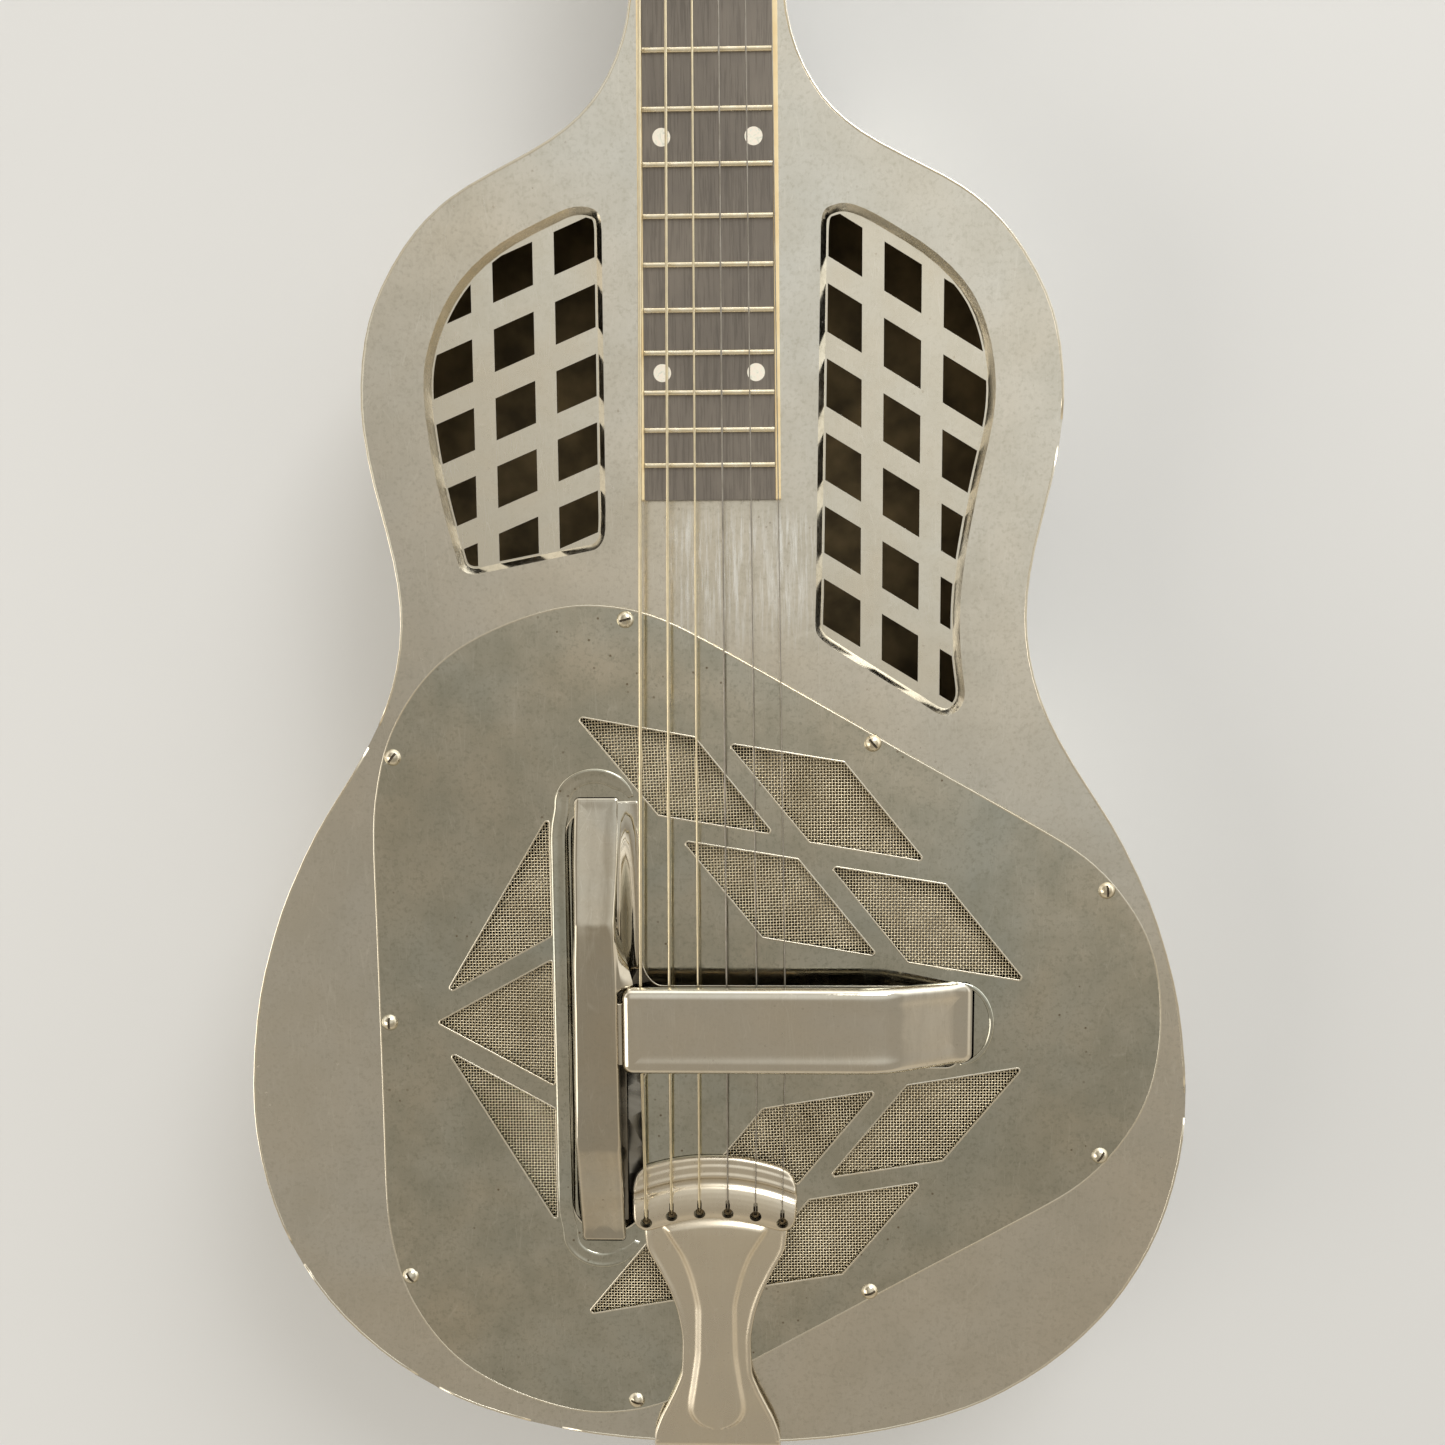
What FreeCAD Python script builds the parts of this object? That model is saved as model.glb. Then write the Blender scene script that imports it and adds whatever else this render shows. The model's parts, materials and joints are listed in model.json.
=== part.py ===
import FreeCAD, Part
import Sketcher
import math
import os

# Three-cone metal-body resonator guitar, square hollow neck, lying on its back.
# +X is the treble side, +Y points to the headstock, +Z points out of the top.
# The origin is on the outer face of the back, under the saddle.

V = FreeCAD.Vector
doc = FreeCAD.newDocument("resonator_guitar")
sheet = doc.addObject("Spreadsheet::Sheet", "Sizes")

CELLS = [
    ("scale_length", 635.0), ("body_depth", 78.0), ("rib_gauge", 0.9), ("back_gauge", 0.9),
    ("top_gauge", 1.0), ("cover_gauge", 1.6), ("grille_gauge", 0.8), ("grille_top", 75.0),
    ("flange_run", 2.3), ("heel_start", 334.0), ("heel_end", 394.0), ("neck_back_body", 38.0),
    ("neck_back_nut", 45.0), ("neck_end", 641.0),
    ("board_thick", 5.0), ("board_start", 199.4), ("board_half_nut", 23.35), ("board_half_body", 25.93),
    ("binding_width", 2.0), ("fret_width", 2.0), ("fret_height", 1.1), ("fret_count", 19), ("dot_dia", 6.4),
    ("nut_thick", 5.4), ("nut_top", 92.2), ("string_nut", 91.4), ("string_saddle", 90.2),
    ("string_anchor", 84.2), ("saddle_thick", 2.6), ("saddle_half", 33.0),
    ("well_inset", 6.2), ("well_floor", 54.0), ("well_gauge", 1.0), ("cone_radius", 75.0), ("cone_height", 21.0), ("cone_gauge", 0.5),
    ("cone_bass_x", -44.0), ("cone_bass_y", 77.0), ("cone_treble_x", 87.0),
    ("bridge_thick", 5.4), ("bridge_bar_half", 7.0), ("bridge_stem_half", 6.0),
    ("handrest_top", 96.0), ("handrest_gauge", 1.0),
    ("screen_gauge", 0.8), ("screw_head_dia", 6.4), ("screw_head_tall", 2.0), ("screw_shank_dia", 2.6),
    ("tail_plate_z", 79.9), ("tail_gauge", 1.5), ("tail_head_top", 86.5), ("tail_hole_dia", 4.6),
    ("head_tilt", 13.0), ("head_thick", 15.0), ("head_long", 186.0), ("head_half", 33.0), ("head_root_z", 82.0),
    ("slot_inner", 9.0), ("slot_outer", 25.0), ("slot_start", 38.0), ("slot_finish", 160.0),
    ("tuner_first", 62.0), ("tuner_pitch", 35.0), ("tuner_depth", 7.5), ("post_radius", 3.2),
    ("run_clear", 0.05), ("gear_teeth", 14), ("worm_lead", 2.0), ("worm_mid_radius", 2.5),
    ("gear_wide", 3.0), ("gear_x", 38.3), ("mesh_gap", 0.12), ("plate_thick", 1.5), ("button_radius", 7.0),
]
for i, (alias, value) in enumerate(CELLS, 1):
    sheet.set("A%d" % i, alias)
    sheet.set("B%d" % i, str(value))
    sheet.setAlias("B%d" % i, alias)
doc.recompute()
S = {alias: float(getattr(sheet, alias)) for alias, value in CELLS}
NODES = []


def node(obj, label):
    obj.Label = label
    NODES.append(obj)
    return obj


def feature(name, shape, placement=None):
    o = doc.addObject("Part::Feature", name)
    o.Shape = shape
    if placement is not None:
        o.Placement = placement
    return o


def extrude(name, base, length, z=None):
    # a prism upward from a flat face; its height, and its level if given, come from the sheet
    if z is not None:
        base.setExpression("Placement.Base.z", z)
    o = doc.addObject("Part::Extrusion", name)
    o.Base = base
    o.DirMode = "Custom"
    o.Dir = V(0, 0, 1)
    o.Solid = True
    o.setExpression("LengthFwd", length)
    return o


def cut(name, base, tool):
    o = doc.addObject("Part::Cut", name)
    o.Base, o.Tool = base, tool
    return o


def common(name, a, b):
    o = doc.addObject("Part::Common", name)
    o.Base, o.Tool = a, b
    return o


def fuse(name, objs):
    o = doc.addObject("Part::MultiFuse", name)
    o.Shapes = objs
    return o


def plane_sketch(body, name, role, pts, bound=()):
    # closed polygon on one of the body's own planes; each corner is dimensioned from the sketch origin,
    # and bound = {(corner, "x" or "y"): expression} ties a dimension to the sheet
    sk = body.newObject("Sketcher::SketchObject", name)
    sk.AttachmentSupport = [([f for f in body.Origin.OriginFeatures if f.Role == role][0], "")]
    sk.MapMode = "FlatFace"
    n = len(pts)
    for k in range(n):
        sk.addGeometry(Part.LineSegment(V(pts[k][0], pts[k][1], 0), V(pts[(k + 1) % n][0], pts[(k + 1) % n][1], 0)), False)
    for k in range(n):
        sk.addConstraint(Sketcher.Constraint("Coincident", k, 2, (k + 1) % n, 1))
    for k, (x, y) in enumerate(pts):
        for axis, kind, value in (("x", "DistanceX", x), ("y", "DistanceY", y)):
            if abs(value) < 1e-9:
                sk.addConstraint(Sketcher.Constraint("PointOnObject", k, 1, -2 if axis == "x" else -1))
            else:
                c = sk.addConstraint(Sketcher.Constraint(kind, -1, 1, k, 1, value))
                if (k, axis) in dict(bound):
                    sk.setExpression("Constraints[%d]" % c, dict(bound)[(k, axis)])
    return sk


def revolved_body(name, pts, bound, placement):
    # turned part: profile in the body's XZ plane, turned about its Z axis
    b = doc.addObject("PartDesign::Body", name)
    sk = plane_sketch(b, name + "_profile", "XZ_Plane", pts, bound)
    r = b.newObject("PartDesign::Revolution", name + "_turn")
    r.Profile = sk
    r.ReferenceAxis = (sk, ["V_Axis"])
    r.Angle = 360
    b.Tip = r
    b.Placement = placement
    return b


def padded_body(name, role, pts, bound, length, placement=None):
    b = doc.addObject("PartDesign::Body", name)
    sk = plane_sketch(b, name + "_outline", role, pts, bound)
    p = b.newObject("PartDesign::Pad", name + "_pad")
    p.Profile = sk
    p.setExpression("Length", length)
    b.Tip = p
    if placement is not None:
        b.Placement = placement
    return b


# ---- smooth outlines -------------------------------------------------------------------------------------
def spline_through(pts, t0=None, t1=None):
    c = Part.BSplineCurve()
    if t0 is None:
        c.interpolate(Points=pts, PeriodicFlag=True)
    else:
        c.interpolate(Points=pts, InitialTangent=t0, FinalTangent=t1)
    return c


def shifted(curve, d, n, closed):
    # points of the curve moved sideways by d along the flat normal
    a, b = curve.FirstParameter, curve.LastParameter
    out = []
    for k in range(n if closed else n + 1):
        u = a + (b - a) * k / n
        p, t = curve.value(u), V(*curve.tangent(u)[0]) if not isinstance(curve.tangent(u)[0], FreeCAD.Vector) else curve.tangent(u)[0]
        t.normalize()
        out.append(p + V(-t.y, t.x, 0) * d)
    return out


BODY = [(44.0, -172.0), (83.2, -164.0), (104.8, -156.0), (119.1, -148.0), (130.5, -140.0), (139.8, -132.0),
        (154.4, -116.0), (164.8, -100.0), (172.3, -84.0), (177.2, -68.0), (180.2, -52.0), (181.4, -36.0),
        (180.9, -20.0), (179.2, -4.0), (176.5, 12.0), (172.2, 28.0), (166.8, 44.0), (159.7, 60.0), (151.2, 76.0),
        (140.8, 92.0), (130.9, 108.0), (123.2, 124.0), (118.6, 140.0), (116.9, 156.0), (118.0, 172.0), (121.1, 188.0),
        (124.9, 204.0), (127.8, 220.0), (128.9, 234.0), (128.0, 250.0), (124.6, 266.0), (117.8, 281.0),
        (106.5, 297.0), (94.2, 308.0), (80.5, 316.0), (64.5, 324.0), (51.4, 332.0), (42.6, 340.0), (36.8, 348.0),
        (32.7, 356.0), (29.9, 364.0), (28.2, 372.0), (26.9, 386.0), (26.3, 402.0), (25.9, 425.0)]
NUT_METAL = S["board_half_nut"] + 0.85


def body_curve(d):
    # outline from the bass side of the neck, round the tail, to its treble side, moved inward by d
    right = [V(x, y, 0) for x, y in BODY]
    pts = [V(-p.x, p.y, 0) for p in reversed(right)] + [V(0, -174.2, 0)] + right
    c = Part.BSplineCurve()
    c.interpolate(Points=pts)
    if d:
        c2 = Part.BSplineCurve()
        c2.interpolate(Points=shifted(c, d, 240, False))
        return c2
    return c


def body_face(d):
    c = body_curve(d)
    a, b = c.EndPoint, c.StartPoint
    e, f = V(NUT_METAL - d, S["neck_end"], 0), V(d - NUT_METAL, S["neck_end"], 0)
    return Part.Face(Part.Wire([c.toShape(), Part.LineSegment(a, e).toShape(), Part.LineSegment(e, f).toShape(), Part.LineSegment(f, b).toShape()]))


def mirror_x(curve):
    return Part.BSplineCurve([V(-p.x, p.y, p.z) for p in curve.getPoles()], curve.getMultiplicities(), curve.getKnots(),
                             False, curve.Degree)


# right side of the cover plate from its treble tip to its bass side; the plate is symmetric about Y = 0
COVER = [(170.8, 0), (170.0, 13.2), (167.5, 26.0), (163.2, 37.0), (157.0, 47.3), (149.2, 57.0), (139.2, 66.0), (128.5, 73.0),
         (115.0, 80.8), (102.8, 87.8), (90.0, 95.0), (78.0, 101.7), (66.0, 108.6), (54.0, 115.6), (41.5, 122.8), (29.0, 130.0),
         (16.0, 137.4), (5.0, 143.6), (-6.5, 149.9), (-18.0, 155.4), (-29.0, 159.0), (-40.5, 160.8), (-52.0, 160.8), (-64.0, 158.5),
         (-78.0, 153.8), (-91.5, 147.3), (-102.0, 140.0), (-111.0, 130.6), (-118.1, 120.1), (-123.4, 109.0), (-127.0, 96.0),
         (-129.2, 82.5), (-129.9, 68.0), (-129.9, 54.0), (-129.8, 40.0), (-129.8, 26.0), (-129.8, 13.0), (-129.8, 0)]
COVER_RING = [V(x, y, 0) for x, y in COVER] + [V(x, -y, 0) for x, y in reversed(COVER[1:-1])]


def ring_face(pts, d, n=150):
    # smooth closed outline, counter-clockwise points, moved inward by d
    c = spline_through(pts)
    if d:
        c = spline_through(shifted(c, d, n, True))
    return Part.Face(Part.Wire(c.toShape()))


def ring_wire(pts, d, z, n=110):
    c = spline_through(shifted(spline_through(pts), d, n, True))
    w = Part.Wire(c.toShape())
    w.translate(V(0, 0, z))
    return w


def steps(p, q, n):
    return [(p[0] + (q[0] - p[0]) * k / n, p[1] + (q[1] - p[1]) * k / n) for k in range(n)]


# upper-bout windows, counter-clockwise
BASS_WINDOW = ([(-41.8, 303.9), (-46.5, 304.8), (-50.5, 304.3), (-56.5, 301.9), (-63.3, 298.8), (-75.2, 292.6), (-85.2, 285.2), (-93.3, 276.3),
                (-98.7, 267.4), (-102.6, 258.0), (-105.0, 248.5), (-105.5, 237.0), (-104.2, 222.0), (-101.4, 205.0), (-98.0, 189.8),
                (-95.2, 179.0), (-93.6, 174.9), (-90.3, 172.9), (-86.0, 173.0)] + steps((-81.0, 174.1), (-46.6, 180.8), 5) +
               [(-46.6, 180.8), (-42.6, 182.0), (-40.2, 184.8), (-39.1, 190.0)] + steps((-39.0, 199.0), (-38.8, 292.0), 9) +
               [(-38.8, 292.0), (-38.9, 299.0), (-39.8, 302.2)])
TREBLE_WINDOW = ([(44.2, 303.9), (41.6, 302.0), (40.6, 298.0)] + steps((40.4, 291.0), (38.9, 162.0), 12) +
                 [(38.9, 162.0), (38.7, 153.5), (39.3, 150.0), (41.5, 147.3)] + steps((46.1, 144.0), (80.5, 122.3), 4) +
                 [(80.5, 122.3), (84.6, 119.8), (88.8, 119.2), (92.6, 121.6), (94.4, 125.6), (94.3, 131.0),
                  (93.2, 139.1), (92.3, 151.9), (92.6, 164.7), (94.3, 179.8), (96.6, 193.7), (99.5, 208.6), (102.5, 222.3),
                  (104.2, 235.0), (103.6, 248.1), (100.6, 261.5), (95.6, 272.5), (87.9, 281.9), (77.8, 290.2), (66.7, 297.1), (57.0, 302.4),
                  (52.6, 304.1), (48.2, 304.8)])
WINDOWS = {"bass": [V(x, y, 0) for x, y in BASS_WINDOW], "treble": [V(x, y, 0) for x, y in TREBLE_WINDOW]}

# ---- body shell ------------------------------------------------------------------------------------------
def band_face(d0, d1):
    # the rib seen from above: a band of constant gauge, open at the nut end
    r0, r1 = body_curve(d0), body_curve(d1)
    e0, e1 = V(NUT_METAL - d0, S["neck_end"], 0), V(NUT_METAL - d1, S["neck_end"], 0)
    f0, f1 = V(d0 - NUT_METAL, S["neck_end"], 0), V(d1 - NUT_METAL, S["neck_end"], 0)
    w = Part.Wire([r0.toShape(), Part.LineSegment(r0.EndPoint, e0).toShape(), Part.LineSegment(e0, e1).toShape(),
                   Part.LineSegment(e1, r1.EndPoint).toShape(), r1.toShape().reversed(), Part.LineSegment(r1.StartPoint, f1).toShape(),
                   Part.LineSegment(f1, f0).toShape(), Part.LineSegment(f0, r0.StartPoint).toShape()])
    return Part.Face(w)


band = feature("rib_band", band_face(0.0, S["rib_gauge"]))
outer_for_back = feature("outline_back", body_face(0.0))
outer_for_top = feature("outline_top", body_face(0.0))
outer_for_neck = feature("outline_neck", body_face(0.0))
inner_for_neck = feature("outline_neck_inner", body_face(S["rib_gauge"]))

body_stretch = doc.addObject("Part::Box", "body_stretch")
body_stretch.Length, body_stretch.Height = 480, 200
body_stretch.setExpression("Width", "Sizes.heel_start + 240")
body_stretch.Placement = FreeCAD.Placement(V(-240, -240, -50), FreeCAD.Rotation())
rib_ring = extrude("rib_ring", band, "Sizes.body_depth - Sizes.top_gauge - Sizes.back_gauge", "Sizes.back_gauge")
node(common("body_sides_solid", rib_ring, body_stretch), "body_sides")

back_prism = extrude("back_prism", outer_for_back, "Sizes.back_gauge")
body_stretch_back = doc.addObject("Part::Box", "body_stretch_back")
body_stretch_back.Length, body_stretch_back.Height = 480, 200
body_stretch_back.setExpression("Width", "Sizes.heel_start + 240")
body_stretch_back.Placement = FreeCAD.Placement(V(-240, -240, -50), FreeCAD.Rotation())
node(common("back_plate_solid", back_prism, body_stretch_back), "back_plate")


def neck_side(d, y_back):
    # side view of the hollow neck, from the heel to the nut; d thickens it inward
    a, b = V(0, S["heel_start"] - d, -1.0), V(0, S["heel_end"], S["neck_back_body"] + d)
    e = V(0, S["neck_end"] + 1, S["neck_back_nut"] + d)
    k = e - b
    k.normalize()
    c = spline_through([a, V(0, a.y + 4.2, 12.0 + d * 0.4), V(0, a.y + 18.5, 28.0 + d), b], V(0, 0.16, 1), k)
    top = S["body_depth"] - S["top_gauge"]
    p = [b, e, V(0, e.y, top), V(0, y_back, top)]
    edges = [c.toShape()] + [Part.LineSegment(p[i], p[i + 1]).toShape() for i in range(3)]
    if y_back < a.y - 1e-6:
        edges += [Part.LineSegment(p[3], V(0, y_back, a.z)).toShape(), Part.LineSegment(V(0, y_back, a.z), a).toShape()]
    else:
        edges += [Part.LineSegment(p[3], a).toShape()]
    f = Part.Face(Part.Wire(edges))
    s = f.extrude(V(160, 0, 0))
    s.translate(V(-80, 0, 0))
    return s


neck_outer_block = feature("neck_outer_block", neck_side(0.0, S["heel_start"]))
neck_inner_block = feature("neck_inner_block", neck_side(S["rib_gauge"], S["heel_start"] - 6))
neck_outer = common("neck_outer", extrude("neck_prism", outer_for_neck, "Sizes.body_depth - Sizes.top_gauge"), neck_outer_block)
neck_inner = common("neck_inner", extrude("neck_prism_inner", inner_for_neck, "Sizes.body_depth - Sizes.top_gauge"), neck_inner_block)
node(cut("neck_shell_solid", neck_outer, neck_inner), "neck_shell")

# ---- top plate with two framed windows and the opening for the sound well --------------------------------
top_prism = extrude("top_prism", outer_for_top, "Sizes.top_gauge", "Sizes.body_depth - Sizes.top_gauge")
well_open = extrude("well_opening", feature("well_opening_face", ring_face(COVER_RING, S["well_inset"])), "Sizes.top_gauge + 2",
                    "Sizes.body_depth - Sizes.top_gauge - 1")
open_tools = [well_open]
flanges = []
for side, pts in WINDOWS.items():
    open_tools.append(extrude(side + "_window", feature(side + "_window_face", ring_face(pts, 0.0)), "Sizes.top_gauge + 2",
                              "Sizes.body_depth - Sizes.top_gauge - 1"))
    zt, zb, run = S["body_depth"], S["grille_top"], S["flange_run"]
    fin = Part.makeLoft([ring_wire(pts, 0.0, zt), ring_wire(pts, run, zb)], True, True)
    fout = Part.makeLoft([ring_wire(pts, -1.0, zt), ring_wire(pts, run - 1.0, zb)], True, True)
    flanges.append(feature(side + "_window_flange", fout.cut(fin)))
top_cut = cut("top_open", top_prism, fuse("top_openings", open_tools))
node(fuse("top_plate_solid", [top_cut] + flanges), "top_plate")

# ---- lattice grilles -------------------------------------------------------------------------------------
# one lattice: vertical strips and sloping strips inside a rim, all of one sheet
LATTICE = {"bass": {"vertical": [(-87.6, -79.5), (-64.6, -56.7)], "slope": 0.42, "x0": -55.8, "y0": 281.7, "pitch": 24.83, "wide": 9.5},
           "treble": {"vertical": [(55.7, 63.7), (77.3, 85.4)], "slope": -0.61, "x0": 42.7, "y0": 287.3, "pitch": 26.95, "wide": 9.6}}
for side, spec in LATTICE.items():
    pts = WINDOWS[side]
    g = S["grille_gauge"]
    strips = []
    for x0, x1 in spec["vertical"]:
        strips.append(Part.makeBox(x1 - x0, 230, g, V(x0, 100, 0)))
    xa, xb = (-112, -30) if side == "bass" else (30, 112)
    for k in range(-3, 9):
        ya = spec["y0"] + spec["slope"] * (xa - spec["x0"]) - spec["pitch"] * k
        yb = spec["y0"] + spec["slope"] * (xb - spec["x0"]) - spec["pitch"] * k
        w = spec["wide"]
        # the sloping strip runs from its lower edge of one row to the upper edge of the next
        poly = Part.makePolygon([V(xa, ya - w, 0), V(xb, yb - w, 0), V(xb, yb, 0), V(xa, ya, 0), V(xa, ya - w, 0)])
        strips.append(Part.Face(poly).extrude(V(0, 0, g)))
    net = strips[0].multiFuse(strips[1:]).removeSplitter()
    net_obj = feature(side + "_lattice_net", net)
    net_obj.setExpression("Placement.Base.z", "Sizes.grille_top - Sizes.grille_gauge")
    z = "Sizes.grille_top - Sizes.grille_gauge"
    plate = extrude(side + "_grille_plate", feature(side + "_grille_face", ring_face(pts, 0.6)), "Sizes.grille_gauge", z)
    core = extrude(side + "_grille_core", feature(side + "_grille_core_face", ring_face(pts, 3.0)), "Sizes.grille_gauge", z)
    core2 = extrude(side + "_grille_core_b", feature(side + "_grille_core_face_b", ring_face(pts, 2.9)), "Sizes.grille_gauge", z)
    rim = cut(side + "_grille_rim", plate, core)
    bars = common(side + "_grille_bars", net_obj, core2)
    node(fuse("grille_%s_solid" % side, [rim, bars]), "grille_" + side)

# ---- sound well ------------------------------------------------------------------------------------------
well_outer = extrude("well_outer", feature("well_outer_face", ring_face(COVER_RING, S["well_inset"])), "Sizes.body_depth - Sizes.well_floor",
                     "Sizes.well_floor")
well_inner = extrude("well_inner", feature("well_inner_face", ring_face(COVER_RING, S["well_inset"] + 0.8)), "Sizes.body_depth - Sizes.well_floor",
                     "Sizes.well_floor + Sizes.well_gauge")
holes = []
CONES = {"cone_bass_upper": ("Sizes.cone_bass_x", "Sizes.cone_bass_y"), "cone_bass_lower": ("Sizes.cone_bass_x", "-Sizes.cone_bass_y"),
         "cone_treble": ("Sizes.cone_treble_x", "0 mm")}
CONE_AT = {"cone_bass_upper": (S["cone_bass_x"], S["cone_bass_y"]), "cone_bass_lower": (S["cone_bass_x"], -S["cone_bass_y"]),
           "cone_treble": (S["cone_treble_x"], 0.0)}
for name, (cx, cy) in CONE_AT.items():
    h = doc.addObject("Part::Cylinder", "well_hole_" + name)
    h.setExpression("Radius", "Sizes.cone_radius - 4")
    h.Height = 10
    h.Placement = FreeCAD.Placement(V(cx, cy, S["well_floor"] - 4), FreeCAD.Rotation())
    holes.append(h)
node(cut("soundwell_solid", well_outer, fuse("well_hollow", [well_inner] + holes)), "soundwell")

# ---- spun cones ------------------------------------------------------------------------------------------
R, H, T = S["cone_radius"], S["cone_height"], S["cone_gauge"]
for name, (cx, cy) in CONE_AT.items():
    prof = [(0, H), (9.0, H), (12.0, H - 2.2), (44.0, 9.6), (R - 5.0, T), (R - 3.0, T), (R - 3.0, T + 1.6), (R, T + 1.6),
            (R, 0), (R - 5.4, 0), (43.6, 9.0), (11.4, H - 2.6), (8.6, H - T), (0, H - T)]
    bound = {(0, "y"): "Sizes.cone_height", (1, "y"): "Sizes.cone_height", (7, "x"): "Sizes.cone_radius",
             (8, "x"): "Sizes.cone_radius"}
    b = revolved_body(name + "_body", prof, bound, FreeCAD.Placement(V(cx, cy, S["well_floor"] + S["well_gauge"]), FreeCAD.Rotation()))
    node(b, name)

# ---- T-shaped bridge and its saddle ----------------------------------------------------------------------
z_bridge = S["well_floor"] + S["well_gauge"] + S["cone_height"]
bh, sh = S["bridge_bar_half"], S["bridge_stem_half"]
bx = S["cone_bass_x"] + 3.0
tee = [(bx - bh, -79.0), (bx + bh, -79.0), (bx + bh, -sh), (91.0, -sh), (91.0, sh), (bx + bh, sh), (bx + bh, 79.0), (bx - bh, 79.0)]
t_body = padded_body("t_bridge_body", "XY_Plane", tee,
                     {(3, "y"): "-Sizes.bridge_stem_half", (4, "y"): "Sizes.bridge_stem_half"}, "Sizes.bridge_thick",
                     FreeCAD.Placement(V(0, 0, z_bridge), FreeCAD.Rotation()))
node(t_body, "t_bridge")
z_saddle = z_bridge + S["bridge_thick"]
STRING_R = {1: 0.2, 2: 0.24, 3: 0.33, 4: 0.42, 5: 0.54, 6: 0.68}
AT_SADDLE = {6: -27.5, 5: -16.65, 4: -5.75, 3: 5.15, 2: 16.5, 1: 27.3}
AT_NUT = {6: -19.6, 5: -11.8, 4: -3.95, 3: 3.9, 2: 11.8, 1: 19.6}
AT_TAIL = {6: (-27.0, -79.1), 5: (-17.1, -76.3), 4: (-6.2, -75.2), 3: (4.8, -75.1), 2: (15.6, -76.2), 1: (26.0, -78.9)}
sad = padded_body("saddle_body", "XZ_Plane",
                  [(-S["saddle_half"], 0), (S["saddle_half"], 0), (S["saddle_half"] - 3, S["string_saddle"] - z_saddle),
                   (-S["saddle_half"] + 3, S["string_saddle"] - z_saddle)],
                  {(1, "x"): "Sizes.saddle_half"}, "Sizes.saddle_thick",
                  FreeCAD.Placement(V(0, S["saddle_thick"] / 2, z_saddle), FreeCAD.Rotation()))
node(sad, "saddle")

# ---- cover plate -----------------------------------------------------------------------------------------
DIAMONDS = [[(-51.0, 119.2), (-6.8, 111.2), (22.9, 74.2), (-20.6, 81.6)], [(6.0, 108.8), (49.5, 101.6), (80.2, 63.8), (36.6, 71.2)],
            [(-11.5, 71.6), (32.2, 64.4), (62.5, 26.8), (18.7, 34.2)], [(44.6, 61.7), (88.1, 54.7), (118.5, 17.2), (74.2, 24.5)]]
DIAMONDS = [list(reversed(d)) for d in DIAMONDS]
OPENINGS = [[V(x, y, 0) for x, y in d] for d in DIAMONDS] + [[V(x, -y, 0) for x, y in reversed(d)] for d in DIAMONDS]
OPENINGS += [[V(-62.3, 81.5, 0), V(-103.6, 11.6, 0), V(-62.3, 34.6, 0)], [V(-62.1, 25.2, 0), V(-107.4, 0, 0), V(-62.1, -25.2, 0)],
             [V(-62.3, -81.5, 0), V(-62.3, -34.6, 0), V(-103.6, -11.6, 0)]]


def rounded(pts, r, d=0.0):
    # polygon with rounded corners, counter-clockwise; d moves every side outward first
    n = len(pts)
    if d:
        lines = []
        for i in range(n):
            p, q = pts[i], pts[(i + 1) % n]
            t = q - p
            t.normalize()
            o = V(t.y, -t.x, 0) * d
            lines.append((p + o, t))
        new = []
        for i in range(n):
            (p, t), (q, u) = lines[i - 1], lines[i]
            det = t.x * u.y - t.y * u.x
            s = ((q.x - p.x) * u.y - (q.y - p.y) * u.x) / det
            new.append(p + t * s)
        pts = new
    edges, last = [], None
    first = None
    for i in range(n):
        p, q, w = pts[i - 1], pts[i], pts[(i + 1) % n]
        a, b = p - q, w - q
        a.normalize()
        b.normalize()
        half = math.acos(max(-1, min(1, a.dot(b)))) / 2
        k = r / math.tan(half)
        s, e = q + a * k, q + b * k
        m = a + b
        m.normalize()
        mid = q + m * (r / math.sin(half) - r)
        if last is not None:
            edges.append(Part.LineSegment(last, s).toShape())
        else:
            first = s
        edges.append(Part.Arc(s, mid, e).toShape())
        last = e
    edges.append(Part.LineSegment(last, first).toShape())
    return Part.Face(Part.Wire(edges))


def slug(face, z, h):
    f = face.copy()
    f.translate(V(0, 0, z))
    return f.extrude(V(0, 0, h))


zc = S["body_depth"]
tools = [slug(rounded(o, 0.9), -1, 6) for o in OPENINGS]
# T-shaped opening under the hand rest
tools.append(slug(rounded([V(-56.3, -84.5, 0), V(-28.3, -84.5, 0), V(-28.3, 84.5, 0), V(-56.3, 84.5, 0)], 12.5), -1, 6))
tools.append(slug(rounded([V(-40, -17.2, 0), V(94.0, -17.2, 0), V(94.0, 14.6, 0), V(-40, 14.6, 0)], 5), -1, 6))
# the two inner corners of the T: a long one towards the neck, a short one towards the tail
for cx_, cy_, rx_, ry_ in ((-19.7, 28.0, 8.6, 13.4), (-21.3, -24.4, 7.0, -7.2)):
    bend = Part.BSplineCurve()
    bend.interpolate(Points=[V(cx_ - rx_ * math.cos(t * math.pi / 16), cy_ - ry_ * math.sin(t * math.pi / 16), 0) for t in range(9)])
    p0, p1 = bend.StartPoint, bend.EndPoint
    k0 = V(p0.x - 1.5, p0.y, 0)
    k1 = V(p0.x - 1.5, p1.y - (0.5 if ry_ > 0 else -0.5), 0)
    k2 = V(p1.x, k1.y, 0)
    edges_ = [bend.toShape(), Part.LineSegment(p1, k2).toShape(), Part.LineSegment(k2, k1).toShape(), Part.LineSegment(k1, k0).toShape(),
              Part.LineSegment(k0, p0).toShape()]
    tools.append(slug(Part.Face(Part.Wire(edges_)), -1, 6))
SCREWS = [(-32.1, 155.6), (-121.3, 103.9), (-126.0, 0.0), (-121.3, -103.9), (-32.1, -155.6), (60.3, -108.8), (148.8, -52.4),
          (148.8, 52.4), (60.3, 108.8)]
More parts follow.
